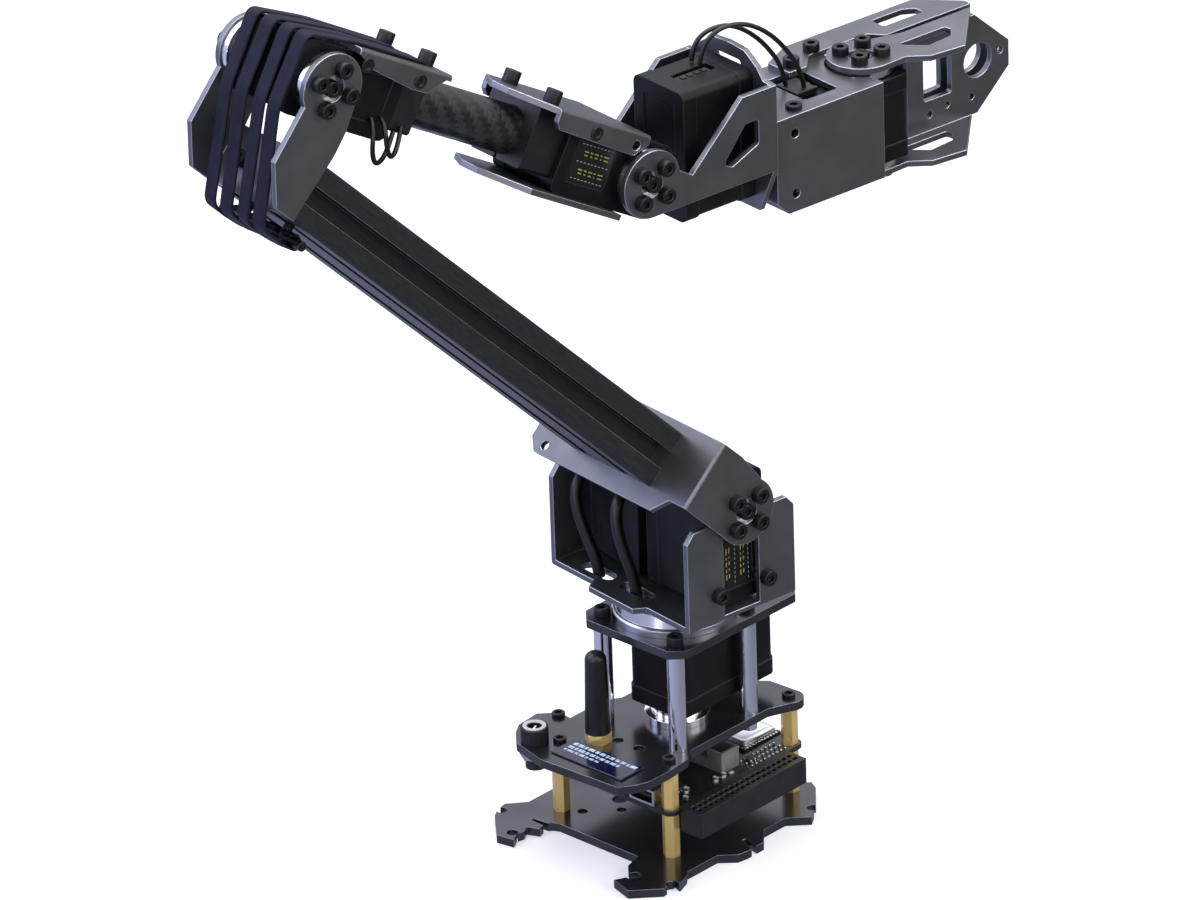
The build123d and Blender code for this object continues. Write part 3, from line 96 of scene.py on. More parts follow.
SERVOS = {
    "yaw_servo": move(0, 0, YAW_SERVO_Z) @ turn(90, "X"),
    "near_shoulder_servo": SHOULDER @ move(0, -SHOULDER_SERVO_OUT, 0) @ turn(90, "Y"),
    "far_shoulder_servo": SHOULDER @ move(0, SHOULDER_SERVO_OUT, 0) @ turn(90, "Y"),
    "elbow_servo": FOREARM,
    "wrist_servo": HAND @ turn(FOREARM_DIP, "Y") @ turn(180, "Y"),
    "roll_servo": HAND @ move(50 - SERVO_HALF, 0, GRIP_Z) @ turn(-90, "Z") @ turn(-90, "Y"),
    "gripper_servo": HAND @ move(105, -1, GRIP_Z) @ turn(180, "Z") @ turn(90, "X"),
}


def at(link, point):
    """A point of a link, given in mm, in the row frame."""
    return link @ (Vector(point) * MM)


def body_of_node(node):
    for body, members in frame["record"]["behaviour"]["bodies"].items():
        if node in members:
            return body
    raise KeyError(node)


# The camera stands where the photograph's did. Its place is in mm, its axes are unit vectors.
CAMERA_PLACE = (-2193.2, -2064.7, 1622.1)
CAMERA_RIGHT = (0.6797, -0.7329, -0.0301)
CAMERA_UP = (0.3431, 0.2814, 0.8962)
CAMERA_BACK = (-0.6483, -0.6195, 0.4427)
CAMERA_LENS = 312.5


def make_camera():
    data = bpy.data.cameras.new("camera")
    data.sensor_width = 36.0
    data.lens = CAMERA_LENS
    data.clip_end = 20.0
    camera = bpy.data.objects.new("camera", data)
    bpy.context.scene.collection.objects.link(camera)
    axes = Matrix((CAMERA_RIGHT, CAMERA_UP, CAMERA_BACK)).transposed().to_4x4()
    camera.matrix_world = Matrix.Translation(Vector(CAMERA_PLACE) * MM) @ axes
    bpy.context.scene.camera = camera


make_camera()


# Nodes and colours

def linear(hexa, alpha=1.0):
    """An sRGB hex colour as the linear numbers that a shader takes."""
    parts = [int(hexa[i:i + 2], 16) / 255 for i in (1, 3, 5)]
    return tuple(c / 12.92 if c <= 0.04045 else ((c + 0.055) / 1.055) ** 2.4 for c in parts) + (alpha,)


def add(tree, kind, inputs=None, **settings):
    """Adds a node with its settings and links. A colour ramp also takes its stops."""
    node = tree.nodes.new("ShaderNode" + kind)
    stops = settings.pop("stops", ())
    for name, value in settings.items():
        setattr(node, name, value)
    for element, (position, colour) in zip(node.color_ramp.elements if stops else (), stops):
        element.position, element.color = position, colour
    for name, value in (inputs or {}).items():
        if isinstance(value, bpy.types.NodeSocket):
            tree.links.new(value, node.inputs[name])
        else:
            node.inputs[name].default_value = value
    return node


def finish_of(name, **sockets):
    """A new material with one Principled shader, and its node tree."""
    material = bpy.data.materials.new(name)
    material.use_nodes = True
    tree = material.node_tree
    shader = tree.nodes["Principled BSDF"]
    for socket, value in sockets.items():
        shader.inputs[socket.replace("_", " ")].default_value = value
    return material, tree, shader


def cells(size_mm):
    """The scale at which a pattern's cells are about that size."""
    return 1 / (size_mm * MM)


# Noise stays near its middle, so a ramp over noise spreads its two colours over this stretch
NOISE_LOW, NOISE_HIGH = 0.35, 0.65


def edges_of(tree, radius_mm):
    """The normal rounded at the edges, and how far it turns there from the face's own."""
    rounded = add(tree, "Bevel", {"Radius": radius_mm * MM}, samples=6)
    flat = add(tree, "NewGeometry")
    dot = add(
        tree, "VectorMath", {0: rounded.outputs["Normal"], 1: flat.outputs["Normal"]}, operation="DOT_PRODUCT"
    )
    edge = add(tree, "MapRange", {"Value": dot.outputs["Value"], "From Min": 0.995, "From Max": 0.8})
    return rounded.outputs["Normal"], edge.outputs["Result"]


def mottled(tree, place, size_mm, low, high):
    """A colour that drifts between two, in patches of about that size."""
    patches = add(tree, "TexNoise", {"Vector": place, "Scale": cells(size_mm)})
    stops = ((NOISE_LOW, low), (NOISE_HIGH, high))
    return add(tree, "ValToRGB", {"Fac": patches.outputs["Fac"]}, stops=stops).outputs["Color"]


def painted_edge_highlight(tree, edge, colour, lit_edge_colour):
    """A colour that gives way to a painted edge highlight where the edge value is high."""
    mix = add(tree, "Mix", {"Factor": edge, 6: colour, 7: linear(lit_edge_colour)}, data_type="RGBA")
    return mix.outputs[2]


def anodised_sheet(name, body, lit_edge_colour, rough, grit_mm, edge_mm=0.5):
    """Aluminium sheet, bead blasted and anodised black. The metal under the thin dye still mirrors
    what is round it, softly and with a fine even grain. The edges are painted a paler colour, a painted highlight."""
    material, tree, shader = finish_of(name, Roughness=rough, Metallic=0.85)
    normal, edge = edges_of(tree, edge_mm)
    place = add(tree, "TexCoord").outputs["Object"]
    paler = tuple(c * 1.25 for c in linear(body)[:3]) + (1.0,)
    dye = mottled(tree, place, 18.0, linear(body), paler)
    # The edges are painted a paler colour here, a painted highlight.
    tree.links.new(painted_edge_highlight(tree, edge, dye, lit_edge_colour), shader.inputs["Base Color"])
    speckle = add(tree, "TexNoise", {"Vector": place, "Scale": cells(grit_mm), "Detail": 1.0}).outputs["Fac"]
    shine = add(tree, "MapRange", {"Value": speckle, "To Min": rough - 0.06, "To Max": rough + 0.08})
    tree.links.new(shine.outputs["Result"], shader.inputs["Roughness"])
    bump = add(tree, "Bump", {"Height": speckle, "Strength": 0.04, "Distance": 0.02 * MM, "Normal": normal})
    tree.links.new(bump.outputs["Normal"], shader.inputs["Normal"])
    return material


def extruded_black():
    """Black anodised extrusion. The die leaves faint lines along its length and a silky gloss."""
    material, tree, shader = finish_of("black anodised extrusion", Roughness=0.4, Metallic=0.8)
    normal, edge = edges_of(tree, 0.35)
    spin = tuple(math.radians(a) for a in (0.0, -ARM_LEAN, -REST_YAW))
    upright = add(tree, "Mapping", {"Vector": add(tree, "TexCoord").outputs["Object"], "Rotation": spin})
    drawn = add(tree, "Mapping", {"Vector": upright.outputs["Vector"], "Scale": (1.0, 1.0, 0.01)})
    lines = add(tree, "TexNoise", {"Vector": drawn.outputs["Vector"], "Scale": cells(0.5)}).outputs["Fac"]
    dye = add(tree, "ValToRGB", {"Fac": lines},
              stops=((NOISE_LOW, linear("#3f4043")), (NOISE_HIGH, linear("#494a4d"))))
    # The edges are painted a pale grey, a painted highlight.
    colour = painted_edge_highlight(tree, edge, dye.outputs["Color"], "#c3c5ce")
    tree.links.new(colour, shader.inputs["Base Color"])
    bump = add(tree, "Bump", {"Height": lines, "Strength": 0.15, "Distance": 0.02 * MM, "Normal": normal})
    tree.links.new(bump.outputs["Normal"], shader.inputs["Normal"])
    return material


def moulded_case():
    """Glass-filled nylon servo shell. The mould is spark-eroded, so the skin is a fine matt grain,
    a little bluish. Its rounded edges are painted a paler bluish grey, a painted highlight."""
    material, tree, shader = finish_of("moulded nylon case", Roughness=0.42, Specular_IOR_Level=0.2)
    normal, edge = edges_of(tree, 0.6)
    place = add(tree, "TexCoord").outputs["Object"]
    nylon = mottled(tree, place, 9.0, linear("#0e0f12"), linear("#15161a"))
    # The rounded edges are painted a paler bluish grey, a painted highlight.
    tree.links.new(painted_edge_highlight(tree, edge, nylon, "#383a44"), shader.inputs["Base Color"])
    skin = add(tree, "TexNoise", {"Vector": place, "Scale": cells(0.35)}).outputs["Fac"]
    bump = add(tree, "Bump", {"Height": skin, "Strength": 0.25, "Distance": 0.03 * MM, "Normal": normal})
    tree.links.new(bump.outputs["Normal"], shader.inputs["Normal"])
    return material


def bright_metal(name, colour, rough, edge_mm=0.3, metal=1.0, smear_mm=3.0):
    """Bare machined metal. The tool leaves a near-mirror with slightly duller patches."""
    material, tree, shader = finish_of(name, Metallic=metal, Base_Color=linear(colour))
    place = add(tree, "TexCoord").outputs["Object"]
    patches = add(tree, "TexNoise", {"Vector": place, "Scale": cells(smear_mm)}).outputs["Fac"]
    shine = add(tree, "MapRange", {"Value": patches, "To Min": rough * 0.7, "To Max": rough * 1.4})
    tree.links.new(shine.outputs["Result"], shader.inputs["Roughness"])
    normal, _ = edges_of(tree, edge_mm)
    scratch = add(tree, "TexNoise", {"Vector": place, "Scale": cells(0.25)}).outputs["Fac"]
    bump = add(tree, "Bump", {"Height": scratch, "Strength": 0.05, "Distance": 0.01 * MM, "Normal": normal})
    tree.links.new(bump.outputs["Normal"], shader.inputs["Normal"])
    return material


def oxide_steel():
    """Black oxide on alloy steel. It is thin, so the steel's own shine comes through, and the
    corners of the heads are painted a lighter grey, a painted highlight."""
    material, tree, shader = finish_of("black oxide steel", Metallic=0.35)
    normal, edge = edges_of(tree, 0.22)
    place = add(tree, "TexCoord").outputs["Object"]
    oxide = mottled(tree, place, 1.5, linear("#131315"), linear("#1f2023"))
    # The corners of the heads are painted a lighter grey, a painted highlight.
    tree.links.new(painted_edge_highlight(tree, edge, oxide, "#5d5f66"), shader.inputs["Base Color"])
    skin = add(tree, "TexNoise", {"Vector": place, "Scale": cells(0.6)})
    shine = add(tree, "MapRange", {"Value": skin.outputs["Fac"], "To Min": 0.28, "To Max": 0.42})
    tree.links.new(shine.outputs["Result"], shader.inputs["Roughness"])
    tree.links.new(normal, shader.inputs["Normal"])
    return material


def turned_bearing():
    """Bearing steel, ground on a lathe: fine rings about the yaw axis stretch the highlights."""
    material, tree, shader = finish_of("ground bearing steel", Metallic=1.0, Base_Color=linear("#c9cad2"))
    place = add(tree, "TexCoord").outputs["Object"]
    rings = add(
        tree, "TexWave", {"Vector": place, "Scale": cells(2 * math.pi * 0.9)},
        wave_type="RINGS", rings_direction="Z",
    )
    normal, _ = edges_of(tree, 0.3)
    bump = add(
        tree, "Bump",
        {"Height": rings.outputs["Fac"], "Strength": 0.12, "Distance": 0.02 * MM, "Normal": normal},
    )
    tree.links.new(bump.outputs["Normal"], shader.inputs["Normal"])
    patches = add(tree, "TexNoise", {"Vector": place, "Scale": cells(4.0)})
    shine = add(tree, "MapRange", {"Value": patches.outputs["Fac"], "To Min": 0.16, "To Max": 0.3})
    tree.links.new(shine.outputs["Result"], shader.inputs["Roughness"])
    return material


def plain_plastic(name, low, high, rough, skin_mm=0.4):
    """Injection moulded plastic, coloured through, with the mould's faint grain."""
    material, tree, shader = finish_of(name, Roughness=rough)
    place = add(tree, "TexCoord").outputs["Object"]
    dye = mottled(tree, place, 5.0, linear(low), linear(high))
    tree.links.new(dye, shader.inputs["Base Color"])
    normal, _ = edges_of(tree, 0.25)
    skin = add(tree, "TexNoise", {"Vector": place, "Scale": cells(skin_mm)}).outputs["Fac"]
    bump = add(tree, "Bump", {"Height": skin, "Strength": 0.2, "Distance": 0.03 * MM, "Normal": normal})
    tree.links.new(bump.outputs["Normal"], shader.inputs["Normal"])
    return material


def solder_mask():
    """Black solder mask over copper: glossy, with the tracks just raised under it."""
    material, tree, shader = finish_of("black solder mask", Roughness=0.25)
    place = add(tree, "TexCoord").outputs["Object"]
    tracks = add(tree, "TexVoronoi", {"Vector": place, "Scale": cells(3.2)}, distance="MANHATTAN")
    mask = add(tree, "ValToRGB", {"Fac": tracks.outputs["Distance"]},
               stops=((0.42, linear("#141517")), (0.5, linear("#202226"))))
    tree.links.new(mask.outputs["Color"], shader.inputs["Base Color"])
    bump = add(tree, "Bump", {"Height": tracks.outputs["Distance"], "Strength": 0.1, "Distance": 0.04 * MM})
    tree.links.new(bump.outputs["Normal"], shader.inputs["Normal"])
    return material


def twill_carbon():
    """Carbon twill under clear resin. The tows run both ways round the tube, two over and two
    under, and each way shines from another side, so the weave shows as diagonal grey patches."""
    material, tree, shader = finish_of(
        "carbon twill in resin", Coat_Weight=0.6, Coat_Roughness=0.12, Metallic=0.2
    )
    tow = 2.0
    radius = 8.0
    spin = tuple(math.radians(a) for a in (0.0, -FOREARM_DIP, -REST_YAW))
    low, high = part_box("carbon_tube")
    place = add(tree, "TexCoord").outputs["Object"]
    about = add(tree, "VectorMath", {0: place, 1: tuple((low + high) / 2)}, operation="SUBTRACT")
    flat = add(
        tree, "VectorRotate", {"Vector": about.outputs["Vector"], "Rotation": spin}, rotation_type="EULER_XYZ"
    )
    parts = add(tree, "SeparateXYZ", {"Vector": flat.outputs["Vector"]})
    angle = add(tree, "Math", {0: parts.outputs["Y"], 1: parts.outputs["Z"]}, operation="ARCTAN2")
    around = add(tree, "Math", {0: angle.outputs["Value"], 1: radius / tow}, operation="MULTIPLY")
    along = add(tree, "Math", {0: parts.outputs["X"], 1: cells(tow)}, operation="MULTIPLY")
    first = add(tree, "Math", {0: around.outputs["Value"]}, operation="FLOOR")
    second = add(tree, "Math", {0: along.outputs["Value"]}, operation="FLOOR")
    step = add(tree, "Math", {0: first.outputs["Value"], 1: second.outputs["Value"]}, operation="ADD")
    quarter = add(tree, "Math", {0: step.outputs["Value"], 1: 4.0}, operation="FLOORED_MODULO")
    over = add(tree, "Math", {0: quarter.outputs["Value"], 1: 1.5}, operation="GREATER_THAN")
    hump_a = add(tree, "Math", {0: around.outputs["Value"], 1: math.pi}, operation="MULTIPLY")
    hump_b = add(tree, "Math", {0: along.outputs["Value"], 1: math.pi}, operation="MULTIPLY")
    wave_a = add(tree, "Math", {0: hump_a.outputs["Value"]}, operation="SINE")
    wave_b = add(tree, "Math", {0: hump_b.outputs["Value"]}, operation="SINE")
    high_a = add(tree, "Math", {0: wave_a.outputs["Value"]}, operation="ABSOLUTE")
    high_b = add(tree, "Math", {0: wave_b.outputs["Value"]}, operation="ABSOLUTE")
    height = add(
        tree, "Mix", {"Factor": over.outputs["Value"], 2: high_a.outputs["Value"], 3: high_b.outputs["Value"]}
    )
    # The two ways of the tows are painted two greys, a painted reflection of how each shines.
    colour = add(
        tree, "Mix", {"Factor": over.outputs["Value"], 6: linear("#191a1c"), 7: linear("#27292c")},
        data_type="RGBA",
    )
    tree.links.new(colour.outputs[2], shader.inputs["Base Color"])
    shine = add(tree, "MapRange", {"Value": over.outputs["Value"], "To Min": 0.3, "To Max": 0.5})
    tree.links.new(shine.outputs["Result"], shader.inputs["Roughness"])
    bump = add(tree, "Bump", {"Height": height.outputs[0], "Strength": 0.35, "Distance": 0.15 * MM})
    tree.links.new(bump.outputs["Normal"], shader.inputs["Normal"])
    return material


def band_rubber():
    """Natural rubber sheet cut into bands, dyed navy. It is matt with a powdery sheen, and the
    stretch draws fine lines along it."""
    material, tree, shader = finish_of("dyed rubber band", Roughness=0.6, Specular_IOR_Level=0.22)
    place = add(tree, "TexCoord").outputs["Object"]
    dye = mottled(tree, place, 4.0, linear("#0e0f20"), linear("#15172c"))
    tree.links.new(dye, shader.inputs["Base Color"])
    lines = add(tree, "TexNoise", {"Vector": place, "Scale": cells(0.5)}).outputs["Fac"]
    bump = add(tree, "Bump", {"Height": lines, "Strength": 0.25, "Distance": 0.05 * MM})
    tree.links.new(bump.outputs["Normal"], shader.inputs["Normal"])
    return material


def lit(name, colour, strength):
    """A lit part of the display: the pixels glow and have no shine of their own."""
    material, tree, shader = finish_of(name, Base_Color=linear(colour), Roughness=0.4)
    shader.inputs["Emission Color"].default_value = linear(colour)
    shader.inputs["Emission Strength"].default_value = strength
    place = add(tree, "TexCoord").outputs["Object"]
    speck = add(tree, "TexNoise", {"Vector": place, "Scale": cells(0.3)})
    pixels = add(tree, "ValToRGB", {"Fac": speck.outputs["Fac"]},
                 stops=((0.5, linear(colour)), (0.7, linear("#ffffff"))))
    tree.links.new(pixels.outputs["Color"], shader.inputs["Base Color"])
    return material


SHEET = anodised_sheet("bead-blasted black anodised sheet", "#6f7074", "#dcdeee", 0.33, 0.35)
PLATE = anodised_sheet("satin black anodised plate", "#4c4d50", "#94959e", 0.2, 0.3, 0.25)
EXTRUSION = extruded_black()
CASE = moulded_case()
OXIDE = oxide_steel()
HORN = bright_metal("turned bright aluminium", "#f4f4f6", 0.14)
CHROME = bright_metal("ground and polished steel", "#f1f2f5", 0.07)
PLATED = bright_metal("nickel plated steel", "#c6c7ca", 0.22)
TIN = bright_metal("tinned steel can", "#dcdddf", 0.26, smear_mm=6.0)
BRASS = bright_metal("turned brass", "#ffdc8c", 0.2, metal=0.6, smear_mm=12.0)
GOLD = bright_metal("gold plated pin", "#e6c36a", 0.18)
BEARING = turned_bearing()
NYLON = plain_plastic("black nylon", "#121214", "#1a1a1c", 0.42)
GREY_NYLON = plain_plastic("grey nylon", "#77797a", "#8d8f90", 0.45)
WHITE_ABS = plain_plastic("white ABS", "#e4e4e2", "#f4f4f2", 0.35)
RUBBER = plain_plastic("moulded soft rubber", "#0b0b0c", "#121214", 0.36, 0.9)
INSULATION = plain_plastic("PVC insulation", "#050506", "#0a0a0c", 0.36, 0.8)
CARD = plain_plastic("printed label film", "#101112", "#161719", 0.3)
PARTS = plain_plastic("moulded chip", "#17181a", "#222326", 0.4)
MASK = solder_mask()
CARBON = twill_carbon()
BAND = band_rubber()
GLASS = plain_plastic("display glass", "#0b0f33", "#131a4d", 0.08)
GLOW = lit("lit pixels", "#cfe4ff", 1.1)
YELLOW_INK = plain_plastic("yellow ink", "#9a9530", "#b3ad42", 0.4)
WHITE_INK = plain_plastic("white ink", "#9a9a97", "#b0b0ad", 0.4)

NODE_FINISH = {
    "base_plate": PLATE, "upper_deck": PLATE, "turntable_plate": PLATE, "driver_board": MASK,
    "lower_standoffs": BRASS, "upper_standoffs": BRASS, "antenna_nut": BRASS, "antenna": RUBBER,
    "bus_connector": GREY_NYLON, "usb_ports": PLATED, "pillars": CHROME, "bearing_outer_ring": BEARING,
    "bearing_inner_ring": BEARING, "shoulder_bracket": SHEET, "arm_foot_bracket": SHEET,
    "elbow_bracket": SHEET,
    "arm_extrusion": EXTRUSION, "band_bar": OXIDE, "forearm_bracket": SHEET, "rear_tube_clamp": NYLON,
    "front_tube_clamp": NYLON, "carbon_tube": CARBON, "wrist_mount": SHEET, "wrist_bracket": SHEET,
    "gripper_frame": SHEET, "fixed_jaw": SHEET, "moving_jaw": SHEET,
}
for horn in (
    "yaw_horn", "yaw_idler_disc", "shoulder_horns", "elbow_horns", "wrist_horns", "roll_horn", "jaw_horns",
):
    NODE_FINISH[horn] = HORN
for servo in SERVOS:
    NODE_FINISH[servo] = CASE


def dress(obj, material):
    obj.data.materials.clear()
    obj.data.materials.append(material)


for node, material in NODE_FINISH.items():
    dress(frame["nodes"][node], material)


# Making meshes

def piece(name, bm, material, body, smooth=True):
    """Turns a bmesh into a piece that rides on a body."""
    mesh = bpy.data.meshes.new(name)
    bmesh.ops.recalc_face_normals(bm, faces=bm.faces)
    bm.to_mesh(mesh)
    bm.free()
    for face in mesh.polygons:
        face.use_smooth = smooth
    if smooth:
        mesh.set_sharp_from_angle(angle=math.radians(32))
    obj = bpy.data.objects.new(name, mesh)
    bpy.context.scene.collection.objects.link(obj)
    mesh.materials.append(material)
    if body:
        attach(obj, body)
    return obj


def add_rings(bm, place, rings, close_start=True, close_end=True):
    """Skins a stack of rings of points, each a list in mm, in the frame of place."""
    made = [[bm.verts.new(at(place, point)) for point in points] for points in rings]
    count = len(made[0])
    for low, high in zip(made, made[1:]):
        for i in range(count):
            j = (i + 1) % count
            bm.faces.new((low[i], low[j], high[j], high[i]))
    if close_start:
        bm.faces.new(made[0])
    if close_end:
        bm.faces.new(made[-1])


def add_block(bm, place, x, y, z, soft=0.12):
    """A block between limits in mm, with its edges broken."""
    corners = [(x[0], y[0]), (x[1], y[0]), (x[1], y[1]), (x[0], y[1])]
    middle = ((x[0] + x[1]) / 2, (y[0] + y[1]) / 2)

    def ring(inset, height):
        return [
            (cx + math.copysign(inset, middle[0] - cx), cy + math.copysign(inset, middle[1] - cy), height)
            for cx, cy in corners
        ]
    add_rings(bm, place, [
        ring(soft, z[0]), ring(0.0, z[0] + soft), ring(0.0, z[1] - soft), ring(soft, z[1]),
    ])


def circle(radius, height, count=32):
    return [
        (radius * math.cos(2 * math.pi * i / count), radius * math.sin(2 * math.pi * i / count), height)
        for i in range(count)
    ]


def knurled(radius, depth, height, count):
    """A ring whose points step in and out, for straight knurling."""
    return [
        ((radius - depth * (i % 2)) * math.cos(2 * math.pi * i / count),
         (radius - depth * (i % 2)) * math.sin(2 * math.pi * i / count), height)
        for i in range(count)
    ]


def hexagon(flats, height, count):
    """Points on a hexagon at even angles, so that a round ring can be skinned to it."""
    points = []
    for i in range(count):
        angle = 2 * math.pi * i / count
        radius = flats / 2 / math.cos((angle % (math.pi / 3)) - math.pi / 6)
        points.append((radius * math.cos(angle), radius * math.sin(angle), height))
    return points


# Screws, made over each of the frame's own from its place, direction and size

def islands(node):
    """The points of each separate solid of a node."""
    bm = bmesh.new()
    bm.from_mesh(frame["nodes"][node].data)
    bmesh.ops.remove_doubles(bm, verts=bm.verts, dist=0.001 * MM)
    bm.verts.ensure_lookup_table()
    seen = set()
    found = []
    for start in bm.verts:
        if start.index in seen:
            continue
        seen.add(start.index)
        stack = [start]
        group = []
        while stack:
            vert = stack.pop()
            group.append(vert.co.copy())
            for edge in vert.link_edges:
                other = edge.other_vert(vert)
                if other.index not in seen:
                    seen.add(other.index)
                    stack.append(other)
        found.append(np.array(group))
    bm.free()
    return found


def screw_size(points):
    """A screw's seat and outward direction, its head's radius and height and its grip, in mm."""
    centre = (points.min(0) + points.max(0)) / 2
    values, vectors = np.linalg.eigh(np.cov((points - points.mean(0)).T))
    odd = max(range(3), key=lambda i: abs(values[i] - (values.sum() - values[i]) / 2))
    axis = vectors[:, odd]
    middle = points.mean(0)
    along = (points - middle) @ axis
    radius = np.linalg.norm(points - middle - np.outer(along, axis), axis=1)
    head = radius > 0.95 * radius.max()
    if along[head].mean() < along[~head].mean():
        axis = -axis
        along = -along
    seat = middle + axis * along[head].min()
    tall = (along[head].max() - along[head].min()) / MM
    grip = (along[head].min() - along.min()) / MM
    return seat, axis, radius.max() / MM, tall, grip


KEY_FLATS = 2.5
HEAD_COUNT = 48
SHANK_R = 1.5
SOCKET_CONE = 0.42


def add_socket_screw(bm, points):
    """A socket screw: a knurled head with a broken top edge, a hexagonal socket and a shank."""
    seat, axis, head_r, tall, grip = screw_size(points)
    upright = Vector((0, 0, 1)).rotation_difference(Vector(axis)).to_matrix().to_4x4()
    place = Matrix.Translation(seat) @ upright
    brim = min(0.3, tall * 0.3)
    ridge = 0.07 if tall > 2 else 0.0
    deep = min(1.5, tall * 0.6 + 0.2)
    count = HEAD_COUNT
    add_rings(bm, place, [
        circle(SHANK_R, -grip, count), circle(SHANK_R, 0, count), circle(head_r - 0.12, 0, count),
        knurled(head_r, ridge, 0.12, count), knurled(head_r, ridge, tall - brim, count),
        circle(head_r - 0.1, tall - brim * 0.5, count), circle(head_r - brim, tall, count),
        circle(KEY_FLATS / 2 + SOCKET_CONE, tall, count), hexagon(KEY_FLATS, tall - 0.12, count),
        hexagon(KEY_FLATS, tall - deep, count), circle(0.3, tall - deep - 0.25, count),
    ])


def socket_screws(node, name):
    bm = bmesh.new()
    for points in islands(node):
        add_socket_screw(bm, points)
    obj = piece(name, bm, OXIDE, body_of_node(node))
    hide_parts(node)


for node in (
    "deck_screws", "pillar_screws", "turret_screws", "arm_screws", "forearm_screws", "wrist_screws",
    "gripper_screws", "jaw_screws",
):
    socket_screws(node, node.replace("screws", "socket_screws"))


# The servos' labels: a dark film with plain bars in place of print

def servo_labels(node, sides):
    """A label film in each recess, with rows of plain yellow bars between two dashed white rules."""
    film = bmesh.new()
    yellow = bmesh.new()
    white = bmesh.new()
    half_l, half_w = LABEL_LONG / 2 - 0.4, LABEL_WIDE / 2 - 0.4
    bars = (2.4, 0.9, 1.7, 1.2, 1.9)
    for side in sides:
        face = SERVOS[node] @ move(LABEL_X, side * (SERVO_HALF - 0.3), 0) @ turn(-90 * side, "X")
        add_block(film, face, (-half_l, half_l), (-half_w, half_w), (0.02, 0.2), 0.05)
        for row in (-3.4, 2.6):
            x = -half_l + 1.6
            for bar in bars:
                for tier in (0.0, 1.2):
                    long = bar - (0.4 if tier else 0.0)
                    add_block(yellow, face, (x, x + long), (row + tier, row + tier + 0.4), (0.18, 0.23), 0.02)
                x += bar + 0.8
        for row in (-5.6, 0.2, 5.8):
            for step in range(9):
                x = -half_l + 0.8 + 1.65 * step
                add_block(white, face, (x, x + 0.9), (row, row + 0.28), (0.18, 0.23), 0.02)
    body = body_of_node(node)
    piece(node + "_label", film, CARD, body)
    piece(node + "_label_bars", yellow, YELLOW_INK, body, False)
    piece(node + "_label_rules", white, WHITE_INK, body, False)


for node, sides in (
    ("near_shoulder_servo", (-1,)), ("far_shoulder_servo", (1,)), ("elbow_servo", (1,)),
    ("wrist_servo", (-1, 1)), ("yaw_servo", (-1,)), ("roll_servo", (1,)), ("gripper_servo", (-1,)),
):
    servo_labels(node, sides)


def servo_trim(node):
    """The lead socket in a servo's end: a rim with four contacts."""
    bm = bmesh.new()
    place = SERVOS[node]
    rim = SERVO_REACH - 1.2
    add_block(bm, place, (rim - 2.0, rim), (-6.4, 6.4), (-2.2, 2.2), 0.2)
    for y in (-4.2, -1.4, 1.4, 4.2):
        add_block(bm, place, (rim, rim + 0.5), (y - 0.9, y + 0.9), (-1.0, 1.0), 0.1)
    piece(node + "_lead_socket", bm, NYLON, body_of_node(node))


for node in SERVOS:
    servo_trim(node)


# The base: header strip, radio module, display, jack and the driver board's small parts

def header_strip():
    """The two-row socket strip: a chamfered, square-sided mouth at each pin."""
    low, high = [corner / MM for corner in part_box("pin_header")]
    pitch = 2.54
    columns = 19
    bm = bmesh.new()
    rows_y = (low.y + 1.6, low.y + 1.6 + pitch, low.y + 1.6 + 2 * pitch)
    first_x = (low.x + high.x) / 2 - columns * pitch / 2
    xs = [low.x] + [first_x + pitch * i for i in range(columns + 1)] + [high.x]
    ys = [low.y] + list(rows_y) + [high.y]
    grid = [[bm.verts.new(Vector((x, y, high.z)) * MM) for x in xs] for y in ys]
    cells = []
    for j in range(len(ys) - 1):
        for i in range(len(xs) - 1):
            face = bm.faces.new((grid[j][i], grid[j][i + 1], grid[j + 1][i + 1], grid[j + 1][i]))
            if 0 < i < len(xs) - 2 and 0 < j < len(ys) - 2:
                cells.append(face)
    rim = [grid[0][i] for i in range(len(xs))] + [grid[j][-1] for j in range(1, len(ys))]
    rim += [grid[-1][i] for i in range(len(xs) - 2, -1, -1)] + [grid[j][0] for j in range(len(ys) - 2, 0, -1)]
    skirt = [bm.verts.new(Vector((v.co.x, v.co.y, low.z * MM))) for v in rim]
    for i in range(len(rim)):
        j = (i + 1) % len(rim)
        bm.faces.new((rim[i], rim[j], skirt[j], skirt[i]))
    bm.faces.new(skirt)
    bmesh.ops.recalc_face_normals(bm, faces=bm.faces)
    bmesh.ops.inset_individual(bm, faces=cells, thickness=0.42 * MM)
    bmesh.ops.inset_individual(bm, faces=cells, thickness=0.3 * MM, depth=-0.35 * MM)
    bmesh.ops.inset_individual(bm, faces=cells, thickness=0.02 * MM, depth=-1.6 * MM)
    obj = piece("header_strip", bm, NYLON, "base", False)
    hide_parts("pin_header")
    pins = bmesh.new()
    for j in (0, 1):
        for i in range(columns):
            x = first_x + pitch * (i + 0.5)
            y = rows_y[j] + pitch / 2
            deep = (high.z - 2.4, high.z - 1.2)
            add_block(pins, Matrix(), (x - 0.3, x + 0.3), (y - 0.3, y + 0.3), deep, 0.05)
    piece("header_contacts", pins, GOLD, "base", False)


header_strip()


